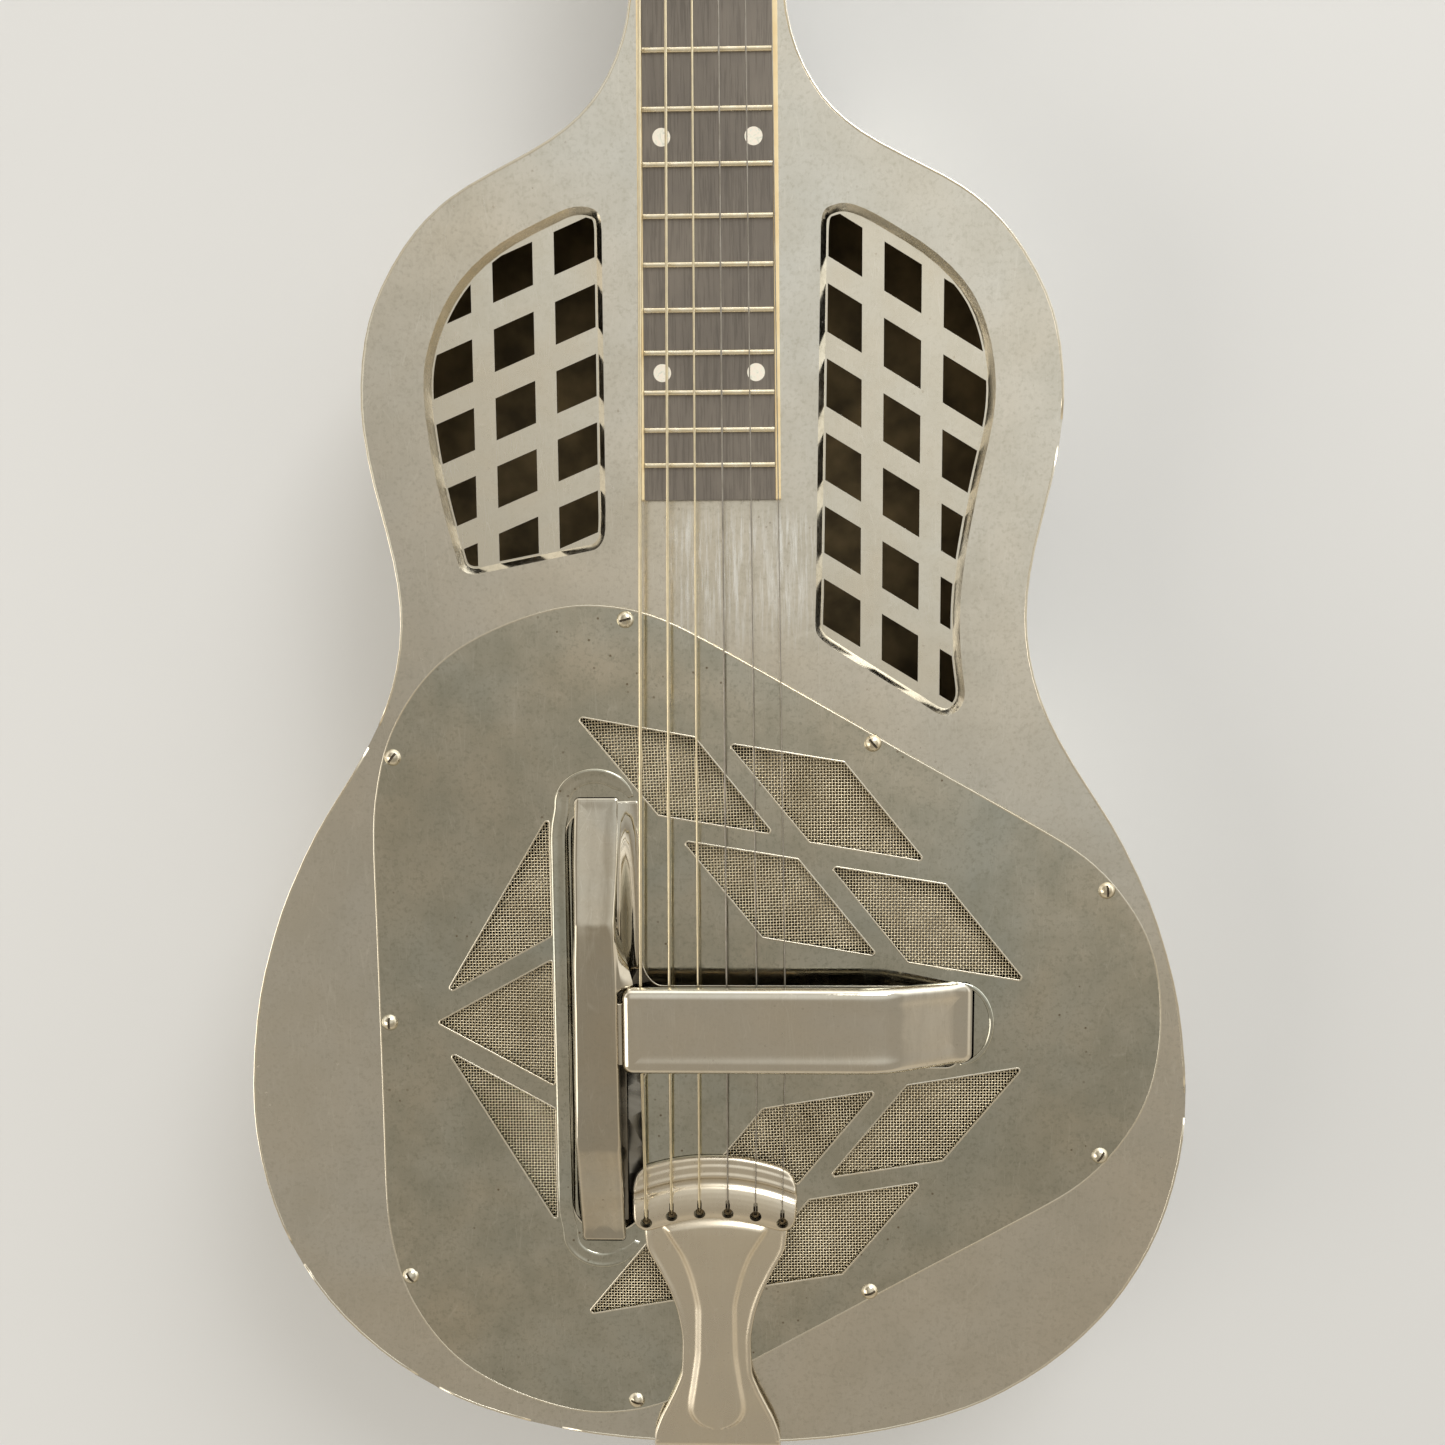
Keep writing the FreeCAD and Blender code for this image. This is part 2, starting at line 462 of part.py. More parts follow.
for x, y in SCREWS:
    tools.append(Part.makeCylinder(S["screw_shank_dia"] / 2 + 0.15, 6, V(x, y, -1)))
pierce = feature("cover_piercings", tools[0].multiFuse(tools[1:]))
pierce.setExpression("Placement.Base.z", "Sizes.body_depth")
cover_prism = extrude("cover_prism", feature("cover_face", ring_face(COVER_RING, 0.0)), "Sizes.cover_gauge", "Sizes.body_depth")
node(cut("cover_plate_solid", cover_prism, pierce), "cover_plate")

screens = [slug(rounded(o, 1.2, 2.6), 0, S["screen_gauge"]) for o in OPENINGS]
sc = feature("cover_screens_solids", Part.makeCompound(screens))
sc.setExpression("Placement.Base.z", "Sizes.body_depth - Sizes.screen_gauge")
node(sc, "cover_screens")

# ---- round-head screws for the cover plate ---------------------------------------------------------------
hd, ht, sd = S["screw_head_dia"], S["screw_head_tall"], S["screw_shank_dia"]


def round_screw(head_dia, head_tall, shank_dia, shank_long, slot=0.9):
    r = head_dia / 2
    big = (r * r + head_tall * head_tall) / (2 * head_tall)
    dome = Part.makeSphere(big, V(0, 0, head_tall - big)).common(Part.makeCylinder(r, head_tall + 1))
    body = dome.fuse(Part.makeCylinder(shank_dia / 2, shank_long + 0.5, V(0, 0, -shank_long)))
    return body.cut(Part.makeBox(head_dia + 1, slot, 1.0, V(-r - 0.5, -slot / 2, head_tall - 0.8))).removeSplitter()


heads = []
for k, (x, y) in enumerate(SCREWS):
    s = round_screw(hd, ht, sd, 9.0)
    s.Placement = FreeCAD.Placement(V(x, y, 0), FreeCAD.Rotation(V(0, 0, 1), 37 * k + 15))
    heads.append(s)
scr = feature("cover_screws_solids", Part.makeCompound(heads))
scr.setExpression("Placement.Base.z", "Sizes.body_depth + Sizes.cover_gauge")
node(scr, "cover_screws")

# ---- T-shaped hand rest over the bridge ------------------------------------------------------------------
zt, g = S["handrest_top"], S["handrest_gauge"]
zp = S["body_depth"] + S["cover_gauge"]


def strap(side_pts, wide0, wide1, along_y):
    # bent strap: side view polyline thickened downward by the gauge, then extruded across
    low = [(a, max(b - g, zp)) for a, b in side_pts]
    ring = side_pts + list(reversed(low))
    if along_y:
        w = Part.makePolygon([V(0, a, b) for a, b in ring] + [V(0, ring[0][0], ring[0][1])])
        s = Part.Face(w).extrude(V(wide1 - wide0, 0, 0))
        s.translate(V(wide0, 0, 0))
    else:
        w = Part.makePolygon([V(a, 0, b) for a, b in ring] + [V(ring[0][0], 0, ring[0][1])])
        s = Part.Face(w).extrude(V(0, wide1 - wide0, 0))
        s.translate(V(0, wide0, 0))
    return s


bar = strap([(88.0, zp + 0.8), (84.0, zp + 1.4), (48.0, zt - 0.6), (42.0, zt), (-37.0, zt), (-43.0, zt - 0.6), (-84.0, zp + 1.4), (-88.0, zp + 0.8)],
            -52.4, -35.6, True)
stem = strap([(-40.0, zt), (60.0, zt), (67.0, zt - 1.0), (95.0, zp + 1.4), (99.5, zp + 0.8)], -15.1, 18.3, False)
skirts = []
for y in (-15.1, 17.3):
    skirts.append(Part.makeBox(93.0, 1.0, 3.4, V(-34.0, y, zt - 3.6)))
for x in (-52.4, -36.6):
    if x > -40:
        skirts.append(Part.makeBox(1.0, 22.0, 3.4, V(x, 18.3, zt - 3.6)))
        skirts.append(Part.makeBox(1.0, 21.3, 3.4, V(x, -36.4, zt - 3.6)))
    else:
        skirts.append(Part.makeBox(1.0, 77.0, 3.4, V(x, -36.4, zt - 3.6)))
pads = []
for sy in (1, -1):
    pads.append(slug(rounded([V(-60.5, min(sy * 82, sy * 99), 0), V(-28.5, min(sy * 82, sy * 99), 0), V(-28.5, max(sy * 82, sy * 99), 0),
                              V(-60.5, max(sy * 82, sy * 99), 0)], 8.2), zp, 0.8))
pads.append(slug(rounded([V(94.5, -16.2, 0), V(106.6, -16.2, 0), V(106.6, 16.2, 0), V(94.5, 16.2, 0)], 5.9), zp, 0.8))
rest = bar.multiFuse([stem] + skirts + pads).removeSplitter()
node(feature("bridge_cover_solid", rest), "bridge_cover")

# ---- tailpiece -------------------------------------------------------------------------------------------
TL = [(-27.9, -81.0), (-27.6, -88.8), (-22.3, -99.9), (-17.9, -109.4), (-15.0, -119.0), (-13.6, -129.4), (-14.0, -141.5), (-16.4, -148.8), (-19.5, -155.4),
      (-23.0, -162.8), (-25.0, -169.8), (-25.4, -180.5)]
outline = [V(x, y, 0) for x, y in TL] + [V(-x, y, 0) for x, y in reversed(TL)]
side_l = Part.BSplineCurve()
side_l.interpolate(Points=[V(x, y, 0) for x, y in TL])
side_r = mirror_x(side_l)
plan = Part.Face(Part.Wire([side_l.toShape(), Part.LineSegment(side_l.EndPoint, side_r.EndPoint).toShape(), side_r.toShape().reversed(),
                            Part.LineSegment(side_r.StartPoint, side_l.StartPoint).toShape()]))
tz, tg = S["tail_plate_z"], S["tail_gauge"]
ye = -174.6
prof = [V(0, -83.0, tz + tg), V(0, ye + 3.0, tz + tg)]
edges = [Part.LineSegment(prof[0], prof[1]).toShape(),
         Part.Arc(prof[1], V(0, ye + 3.0 - (3.0 + tg) * math.sin(math.pi / 4), tz - 3.0 + (3.0 + tg) * math.cos(math.pi / 4)), V(0, ye - tg, tz - 3.0)).toShape(),
         Part.LineSegment(V(0, ye - tg, tz - 3.0), V(0, ye - tg, 42.0)).toShape(),
         Part.LineSegment(V(0, ye - tg, 42.0), V(0, ye, 42.0)).toShape(),
         Part.LineSegment(V(0, ye, 42.0), V(0, ye, tz - 3.0)).toShape(),
         Part.Arc(V(0, ye, tz - 3.0), V(0, ye + 3.0 - 3.0 * math.sin(math.pi / 4), tz - 3.0 + 3.0 * math.cos(math.pi / 4)), V(0, ye + 3.0, tz)).toShape(),
         Part.LineSegment(V(0, ye + 3.0, tz), V(0, -83.0, tz)).toShape(),
         Part.LineSegment(V(0, -83.0, tz), prof[0]).toShape()]
strip = Part.Face(Part.Wire(edges)).extrude(V(80, 0, 0))
strip.translate(V(-40, 0, 0))
tail_body = strip.common(slug(plan, 0, 120))
TAIL_SCREWS = [(-14.0, 58.0), (14.0, 58.0), (0.0, 48.0)]
for x, z in TAIL_SCREWS:
    tail_body = tail_body.cut(Part.makeCylinder(1.7, 8, V(x, ye - 4, z), V(0, 1, 0)))
HEAD = [(-27.3, -57.0), (-14.0, -53.3), (0.0, -52.6), (14.0, -53.3), (27.3, -57.0), (31.7, -65.0), (31.5, -78.5), (26.8, -83.7), (-26.8, -83.7),
        (-31.5, -78.5), (-31.7, -65.0)]
hf = rounded([V(x, y, 0) for x, y in reversed(HEAD)], 1.2)
head_low = slug(hf, tz, tg)
head_bar = slug(rounded([V(x, y, 0) for x, y in reversed([(-27.3, -66.0), (-14.0, -62.3), (0.0, -61.6), (14.0, -62.3), (27.3, -66.0), (31.6, -69.0),
                                                         (31.5, -78.5), (26.8, -83.7), (-26.8, -83.7), (-31.5, -78.5), (-31.6, -69.0)])], 1.0),
                tz, S["tail_head_top"] - tz - 1.2)
tail = tail_body.multiFuse([head_low, head_bar])
for k, (x, y) in AT_TAIL.items():
    # a round hole for the ball end and a slot for the string, towards the saddle
    tail = tail.cut(Part.makeCylinder(S["tail_hole_dia"] / 2, 12, V(x, y, tz - 2)))
    tail = tail.cut(Part.makeBox(2 * STRING_R[k] + 0.9, 24, 6, V(x - STRING_R[k] - 0.45, y, S["string_anchor"] - STRING_R[k] - 0.35)))
tail = max(tail.removeSplitter().Solids, key=lambda q: q.Volume)
node(feature("tailpiece_solid", tail), "tailpiece")
ts = []
for x, z in TAIL_SCREWS:
    s = round_screw(6.0, 1.9, 3.0, 8.0)
    s.Placement = FreeCAD.Placement(V(x, ye - tg, z), FreeCAD.Rotation(V(1, 0, 0), 90))
    ts.append(s)
node(feature("tailpiece_screws_solids", Part.makeCompound(ts)), "tailpiece_screws")

# ---- fretboard, binding, frets, dots, nut ----------------------------------------------------------------
y0, y1 = S["board_start"], S["scale_length"]
h0, h1, bw = S["board_half_body"], S["board_half_nut"], S["binding_width"]
z_board = S["body_depth"]
board = padded_body("fretboard_body", "XY_Plane", [(-h0 + bw, y0), (h0 - bw, y0), (h1 - bw, y1), (-h1 + bw, y1)],
                    {(0, "y"): "Sizes.board_start", (1, "y"): "Sizes.board_start", (2, "y"): "Sizes.scale_length",
                     (3, "y"): "Sizes.scale_length", (0, "x"): "Sizes.binding_width - Sizes.board_half_body",
                     (1, "x"): "Sizes.board_half_body - Sizes.binding_width", (2, "x"): "Sizes.board_half_nut - Sizes.binding_width",
                     (3, "x"): "Sizes.binding_width - Sizes.board_half_nut"}, "Sizes.board_thick",
                    FreeCAD.Placement(V(0, 0, z_board), FreeCAD.Rotation()))


def fret_y(n):
    return S["scale_length"] / 2 ** (n / 12.0)


def half_at(y):
    return h1 + (h0 - h1) * (y1 - y) / (y1 - y0)


dots = []
for n, xs in ((3, (0,)), (5, (-16.0, 16.0)), (7, (0,)), (9, (0,)), (12, (-16.4, 16.4)), (17, (-17.0, 17.0))):
    for x in xs:
        dots.append(Part.makeCylinder(S["dot_dia"] / 2, 1.5, V(x, (fret_y(n) + fret_y(n - 1)) / 2, 0)))
dot_obj = feature("position_dots_solids", Part.makeCompound(dots))
dot_obj.setExpression("Placement.Base.z", "Sizes.body_depth + Sizes.board_thick - 1.5")
dot_cut = feature("dot_pockets", Part.makeCompound([d.copy() for d in dots]))
dot_cut.setExpression("Placement.Base.z", "Sizes.body_depth + Sizes.board_thick - 1.5")
node(cut("fretboard_solid", board, dot_cut), "fretboard")
node(dot_obj, "position_dots")

bind = []
for sx in (-1, 1):
    p = [V(sx * h0, y0, 0), V(sx * (h0 - bw), y0, 0), V(sx * (h1 - bw), y1, 0), V(sx * h1, y1, 0)]
    bind.append(Part.Face(Part.makePolygon(p + [p[0]])).extrude(V(0, 0, S["board_thick"])))
bd = feature("fretboard_binding_solids", Part.makeCompound(bind))
bd.setExpression("Placement.Base.z", "Sizes.body_depth")
node(bd, "fretboard_binding")

frets = []
fw, fh = S["fret_width"], S["fret_height"]
for n in range(1, int(S["fret_count"]) + 1):
    y, hw = fret_y(n), half_at(fret_y(n)) - bw - 0.15
    arc = Part.Arc(V(0, y - fw / 2, 0.25), V(0, y, fh), V(0, y + fw / 2, 0.25)).toShape()
    w = Part.Wire([arc, Part.LineSegment(V(0, y + fw / 2, 0.25), V(0, y + fw / 2, 0)).toShape(),
                   Part.LineSegment(V(0, y + fw / 2, 0), V(0, y - fw / 2, 0)).toShape(),
                   Part.LineSegment(V(0, y - fw / 2, 0), V(0, y - fw / 2, 0.25)).toShape()])
    s = Part.Face(w).extrude(V(2 * hw, 0, 0))
    s.translate(V(-hw, 0, 0))
    frets.append(s)
fr = feature("frets_solids", Part.makeCompound(frets))
fr.setExpression("Placement.Base.z", "Sizes.body_depth + Sizes.board_thick")
node(fr, "frets")

nut_pts = [(0, 0), (S["nut_thick"], 0), (S["nut_thick"], S["nut_top"] - z_board - 1.8), (S["nut_thick"] - 2.2, S["nut_top"] - z_board), (0, S["nut_top"] - z_board)]
nut = padded_body("nut_body", "YZ_Plane", nut_pts, {(1, "x"): "Sizes.nut_thick"}, "2 * Sizes.board_half_nut + 0.4",
                  FreeCAD.Placement(V(-h1 - 0.2, y1, z_board), FreeCAD.Rotation()))
nut_slots = []
for k, x in AT_NUT.items():
    nut_slots.append(Part.makeBox(2 * STRING_R[k], 12, 4, V(x - STRING_R[k], y1 - 2, S["string_nut"])))
nut_slot_obj = feature("nut_slots", Part.makeCompound(nut_slots))
node(cut("nut_solid", nut, nut_slot_obj), "nut")

# ---- slotted headstock -----------------------------------------------------------------------------------
tilt = S["head_tilt"]
HEAD_AT = FreeCAD.Placement(V(0, S["neck_end"], S["head_root_z"]), FreeCAD.Rotation(V(1, 0, 0), -tilt))


def to_row(x, v, w):
    return HEAD_AT.multVec(V(x, v, w))


hh, hl, hk = S["head_half"], S["head_long"], S["head_thick"]
NUT_HALF = NUT_METAL
right = [V(NUT_HALF, -12, 0), V(NUT_HALF, 3, 0)]
side1 = Part.BSplineCurve()
side1.interpolate(Points=[V(NUT_HALF, 3, 0), V(26.4, 12, 0), V(31.0, 24, 0), V(hh, 36, 0)], InitialTangent=V(0, 1, 0), FinalTangent=V(0, 1, 0))
crown = Part.BSplineCurve()
crown.interpolate(Points=[V(hh, 164, 0), V(hh + 0.6, 172, 0), V(hh - 3.5, 181.5, 0), V(20, 179.5, 0), V(10, 182.5, 0), V(0, hl, 0)],
                  InitialTangent=V(0, 1, 0), FinalTangent=V(-1, 0.0, 0))
rt = [Part.LineSegment(right[0], right[1]).toShape(), side1.toShape(), Part.LineSegment(V(hh, 36, 0), V(hh, 164, 0)).toShape(), crown.toShape()]
lt = [Part.LineSegment(V(-NUT_HALF, -12, 0), V(-NUT_HALF, 3, 0)).toShape(), mirror_x(side1).toShape(),
      Part.LineSegment(V(-hh, 36, 0), V(-hh, 164, 0)).toShape(), mirror_x(crown).toShape()]
hw_ = Part.Wire(Part.__sortEdges__(rt + lt + [Part.LineSegment(V(-NUT_HALF, -12, 0), V(NUT_HALF, -12, 0)).toShape()]))
head_plan = Part.Face(hw_).extrude(V(0, 0, 80))
head_plan.translate(V(0, 0, -60))
head_plan.Placement = HEAD_AT.multiply(head_plan.Placement)
ne, zr = S["neck_end"], S["head_root_z"]
face_far, back_far = to_row(0, hl + 8, 0), to_row(0, hl + 8, -hk)
back_near = to_row(0, 40, -hk)
throat = Part.BSplineCurve()
throat.interpolate(Points=[V(0, ne, S["neck_back_nut"]), V(0, ne + 14, S["neck_back_nut"] + 2.6), V(0, back_near.y, back_near.z)],
                   InitialTangent=V(0, 1, 0.03), FinalTangent=V(0, math.cos(math.radians(tilt)), -math.sin(math.radians(tilt))))
side = [throat.toShape(), Part.LineSegment(V(0, back_near.y, back_near.z), back_far).toShape(), Part.LineSegment(back_far, face_far).toShape(),
        Part.LineSegment(face_far, V(0, ne, zr)).toShape(), Part.LineSegment(V(0, ne, zr), V(0, ne, S["neck_back_nut"])).toShape()]
head_side = Part.Face(Part.Wire(side)).extrude(V(100, 0, 0))
head_side.translate(V(-50, 0, 0))
head = head_side.common(head_plan)
slots, bores = [], []
for sx in (-1, 1):
    a, b = sorted((sx * S["slot_inner"], sx * S["slot_outer"]))
    sf = rounded([V(a, S["slot_start"], 0), V(b, S["slot_start"], 0), V(b, S["slot_finish"], 0), V(a, S["slot_finish"], 0)], 7.9)
    slots.append(slug(sf, -40, 60))
    # the wood is relieved behind each slot so that the strings leave it freely
TUNER_V = [S["tuner_first"] + k * S["tuner_pitch"] for k in range(3)]
for v in TUNER_V:
    for sx in (-1, 1):
        bores.append(Part.makeCylinder(S["post_radius"] + S["run_clear"], hh - 4.0 + 1, V(sx * 4.0, v, -S["tuner_depth"]), V(sx, 0, 0)))
slot_obj = feature("head_slots", Part.makeCompound(slots), HEAD_AT)
bore_obj = feature("head_bores", Part.makeCompound(bores), HEAD_AT)
tenon = doc.addObject("Part::Box", "head_tenon")
tenon.Length, tenon.Width, tenon.Height = 40, 60.5, 24
tenon.Placement = FreeCAD.Placement(V(-20, ne - 60, 50), FreeCAD.Rotation())
head_block = feature("head_block", head)
node(cut("headstock_solid", cut("head_slotted", fuse("head_with_tenon", [head_block, tenon]), slot_obj), bore_obj), "headstock")

# ---- tuners ----------------------------------------------------------------------------------------------
N, lead = int(S["gear_teeth"]), S["worm_lead"]
Rg = N * lead / (2 * math.pi)
Rw = S["worm_mid_radius"]
centre_gap = Rg + Rw + S["mesh_gap"]
gx, pt = S["gear_x"], S["plate_thick"]
add, ded = 0.55, 0.72


def gear_shape(phase):
    # toothed wheel about the X axis, centred at the origin
    pts = []
    for k in range(N):
        a = 2 * math.pi * (k + phase) / N
        p = 2 * math.pi / N
        # tooth: narrow at the tip, with room on both flanks for the thread
        for da, r in ((-0.27, Rg - ded), (-0.205, Rg - 0.1), (-0.105, Rg + add), (0.105, Rg + add), (0.205, Rg - 0.1), (0.27, Rg - ded)):
            pts.append(V(0, r * math.cos(a + da * p), r * math.sin(a + da * p)))
    w = Part.makePolygon(pts + [pts[0]])
    s = Part.Face(w).extrude(V(S["gear_wide"], 0, 0))
    s.translate(V(-S["gear_wide"] / 2, 0, 0))
    return s


def worm_thread():
    # single right-hand thread about +Z, three and a half turns, centred on z = 0
    turns = 4.0
    length = turns * lead
    root, tip = Rw - ded, Rw + add
    helix = Part.makeHelix(lead, length, Rw)
    z0 = -length / 2
    helix.translate(V(0, 0, z0))
    prof = Part.makePolygon([V(root - 0.25, 0, z0 - 0.50), V(tip, 0, z0 - 0.17), V(tip, 0, z0 + 0.17), V(root - 0.25, 0, z0 + 0.50), V(root - 0.25, 0, z0 - 0.50)])
    sweep = Part.BRepOffsetAPI.MakePipeShell(helix) if hasattr(Part, "BRepOffsetAPI") else Part.Wire(helix).makePipeShell([prof], True, True)
    if hasattr(Part, "BRepOffsetAPI"):
        sweep.setFrenetMode(True)
        sweep.add(prof)
        sweep.build()
        sweep.makeSolid()
        sweep = sweep.shape()
    return sweep


thread = worm_thread()
if thread.ShapeType != "Solid":
    thread = Part.Solid(thread.Shells[0]) if thread.Shells else thread
if thread.Volume < 0:
    thread.reverse()
root = Rw - ded
core = Part.makeCylinder(root, 9.4, V(0, 0, -4.7))
clip = Part.makeCylinder(Rw + add + 1, 7.0, V(0, 0, -3.5))
worm_local = core.fuse(thread.common(clip)).removeSplitter()

y_low, ear = -S["tuner_depth"], 1.5
for side, sx in (("bass", -1), ("treble", 1)):
    plate_parts = [Part.makeBox(pt, 2 * S["tuner_pitch"] + 31.0, 13.6, V(min(sx * hh, sx * (hh + pt)), TUNER_V[0] - 12.0, -14.3))]
    for v in TUNER_V:
        vw = v + centre_gap
        for w0 in (y_low - 5.0 - ear, y_low + 5.0):
            x0 = sorted((sx * (hh + pt - 0.3), sx * (gx + 3.3)))
            plate_parts.append(Part.makeBox(x0[1] - x0[0], 6.6, ear, V(x0[0], vw - 3.3, w0)))
    plate = plate_parts[0].multiFuse(plate_parts[1:])
    for v in TUNER_V:
        vw = v + centre_gap
        plate = plate.cut(Part.makeCylinder(S["post_radius"] + S["run_clear"], 6, V(sx * (hh - 2), v, y_low), V(sx, 0, 0)))
        plate = plate.cut(Part.makeCylinder(1.5 + S["run_clear"], 20, V(sx * gx, vw, y_low - 10)))
    holes_v = [TUNER_V[0] - 9.0, TUNER_V[0] + 22.0, TUNER_V[1] + 22.0, TUNER_V[2] + 16.0]
    for v in holes_v:
        plate = plate.cut(Part.makeCylinder(1.1, 6, V(sx * (hh - 2), v, y_low), V(sx, 0, 0)))
    node(feature("tuner_plate_%s_solid" % side, plate.removeSplitter(), HEAD_AT), "tuner_plate_" + side)

pscrews = []
for sx in (-1, 1):
    for v in [TUNER_V[0] - 9.0, TUNER_V[0] + 22.0, TUNER_V[1] + 22.0, TUNER_V[2] + 16.0]:
        s = round_screw(3.6, 1.1, 1.9, 7.0, 0.6)
        s.Placement = FreeCAD.Placement(V(sx * (hh + pt), v, y_low), FreeCAD.Rotation(V(0, 1, 0), 90 * sx))
        pscrews.append(s)
node(feature("tuner_plate_screws_solids", Part.makeCompound(pscrews), HEAD_AT), "tuner_plate_screws")

# string k is wound on a post; 1 to 3 on the treble side, 6 to 4 on the bass side, nearest the nut first
WHERE = {1: (1, 0), 2: (1, 1), 3: (1, 2), 6: (-1, 0), 5: (-1, 1), 4: (-1, 2)}
WIND_X = {1: 19.8, 2: 16.6, 3: 13.4, 6: -19.8, 5: -16.6, 4: -13.4}
pr = S["post_radius"]
for k in range(1, 7):
    sx, place = WHERE[k]
    v = TUNER_V[place]
    vw = v + centre_gap
    # worm and its shaft: the shaft runs in the two ears and ends in the button behind the head
    shaft = Part.makeCylinder(1.5, 26.8, V(0, 0, -20.0))
    worm = shaft.fuse(worm_local).removeSplitter()
    wplace = HEAD_AT.multiply(FreeCAD.Placement(V(sx * gx, vw, y_low), FreeCAD.Rotation(V(0, 0, 1), 270.0)))
    node(feature("worm_shaft_%d_solid" % k, worm, wplace), "worm_shaft_%d" % k)
    br = S["button_radius"]
    bp = [(1.5, -7.2), (2.6, -7.2), (3.0, -9.0), (br - 0.8, -11.2), (br, -14.0), (br, -17.5), (br - 1.2, -20.6), (br - 3.4, -22.6), (0, -23.0), (0, -20.0), (1.5, -20.0)]
    bb = revolved_body("tuner_button_%d_body" % k, bp, {(4, "x"): "Sizes.button_radius", (5, "x"): "Sizes.button_radius"}, wplace)
    node(bb, "tuner_button_%d" % k)
    # roller post with its gear, about the X axis
    inner_end, outer_end = 4.6, gx - S["gear_wide"] / 2
    post = Part.makeCylinder(pr, outer_end - inner_end, V(inner_end, 0, 0), V(1, 0, 0))
    post = post.fuse(Part.makeCylinder(1.4, S["gear_wide"] + 1.0, V(outer_end - 0.2, 0, 0), V(1, 0, 0)))
    gear = gear_shape(0.5)
    gear.translate(V(gx, 0, 0))
    post = post.fuse(gear)
    post = post.cut(Part.makeCylinder(0.8, 12, V(abs(WIND_X[k]), 0, -6)))
    if sx < 0:
        post = post.mirror(V(0, 0, 0), V(1, 0, 0))
    pplace = HEAD_AT.multiply(FreeCAD.Placement(V(0, v, y_low), FreeCAD.Rotation()))
    node(feature("string_post_%d_solid" % k, post.removeSplitter(), pplace), "string_post_%d" % k)
    rs = STRING_R[k]
    wl = max(3.2, 9.0 * rs)
    coil = Part.makeCylinder(pr + 2 * rs, wl, V(WIND_X[k] - wl / 2, 0, 0), V(1, 0, 0)).cut(
        Part.makeCylinder(pr, wl + 2, V(WIND_X[k] - wl / 2 - 1, 0, 0), V(1, 0, 0)))
    node(feature("string_winding_%d_solid" % k, coil, pplace), "string_winding_%d" % k)

def mitred_wire(path, r, sides=16):
    # round wire along straight runs; every ring but the two ends lies in the bend's own mitre plane
    d = path[1] - path[0]
    d.normalize()
    u = d.cross(V(0, 0, 1))
    u.normalize()
    w = u.cross(d)
    ring = [path[0] + u * (r * math.cos(2 * math.pi * i / sides)) + w * (r * math.sin(2 * math.pi * i / sides)) for i in range(sides)]
    rings = [ring]
    for j in range(1, len(path)):
        d = path[j] - path[j - 1]
        d.normalize()
        n = V(d)
        if j < len(path) - 1:
            e = path[j + 1] - path[j]
            e.normalize()
            n = d + e
        ring = [q + d * ((path[j] - q).dot(n) / d.dot(n)) for q in ring]
        rings.append(ring)
    faces = [Part.Face(Part.makePolygon(rings[0] + [rings[0][0]])), Part.Face(Part.makePolygon(rings[-1] + [rings[-1][0]]))]
    for lo, hi in zip(rings, rings[1:]):
        for i in range(sides):
            k2 = (i + 1) % sides
            faces.append(Part.Face(Part.makePolygon([lo[i], lo[k2], hi[k2], hi[i], lo[i]])))
    solid = Part.Solid(Part.Shell(faces))
    if solid.Volume < 0:
        solid.reverse()
    return solid


# ---- strings: ball end, over the saddle and the nut, down to the post ------------------------------------
for k in range(1, 7):
    sx, place = WHERE[k]
    rs = STRING_R[k]
    tx, ty = AT_TAIL[k]
    zs, zn = S["string_saddle"], S["string_nut"]
    post_c = to_row(WIND_X[k], TUNER_V[place], y_low)
    nut_front, nut_back = V(AT_NUT[k], y1 + 0.4, zn + rs), V(AT_NUT[k] * 1.0, y1 + S["nut_thick"] - 2.4, zn + rs)
    # tangent from the nut to the top of the winding
    dy, dz = post_c.y - nut_back.y, post_c.z - nut_back.z
    dist, rr = math.hypot(dy, dz), pr + 2 * rs + rs + 0.15
    ang = math.atan2(dz, dy) + math.asin(rr / dist)
    run = math.sqrt(dist * dist - rr * rr) - 0.3
    end = V(post_c.x, nut_back.y + run * math.cos(ang), nut_back.z + run * math.sin(ang))
    path = [V(tx, ty + 0.6, S["string_anchor"]), V(AT_SADDLE[k], 0, zs + rs), nut_front, nut_back, end]
    # one wire with mitred bends, then its ball end
    wire = mitred_wire(path, rs)
    st = wire.fuse(Part.makeCylinder(1.75, 2.8, V(tx, ty, S["string_anchor"] - 1.9)))
    expected = math.pi * rs * rs * sum((q - p).Length for p, q in zip(path, path[1:]))
    if abs(wire.Volume - expected) > 0.04 * expected:
        raise SystemExit("string %d has volume %.2f, not %.2f" % (k, wire.Volume, expected))
    node(feature("string_%d_solid" % k, st), "string_%d" % k)

doc.recompute()

# ---- checks, then one file per piece ---------------------------------------------------------------------
bad = [o.Name for o in doc.Objects if "Invalid" in o.State or "Error" in o.State]
if bad:
    raise SystemExit("failed objects: " + ", ".join(bad))
os.makedirs("parts", exist_ok=True)
for o in NODES:
    s = o.Shape
    if s.isNull() or not s.isValid() or not s.Solids:
        raise SystemExit("bad shape: " + o.Label)
for o in NODES:
    s = o.Shape
    s.exportStep("parts/%s.step" % o.Label)
    bb = s.BoundBox
    print("%-22s solids %2d  volume %10.1f  box %7.1f %7.1f %7.1f  %7.1f %7.1f %7.1f" % (
        o.Label, len(s.Solids), s.Volume, bb.XMin, bb.YMin, bb.ZMin, bb.XMax, bb.YMax, bb.ZMax))
print(len(NODES), "pieces")
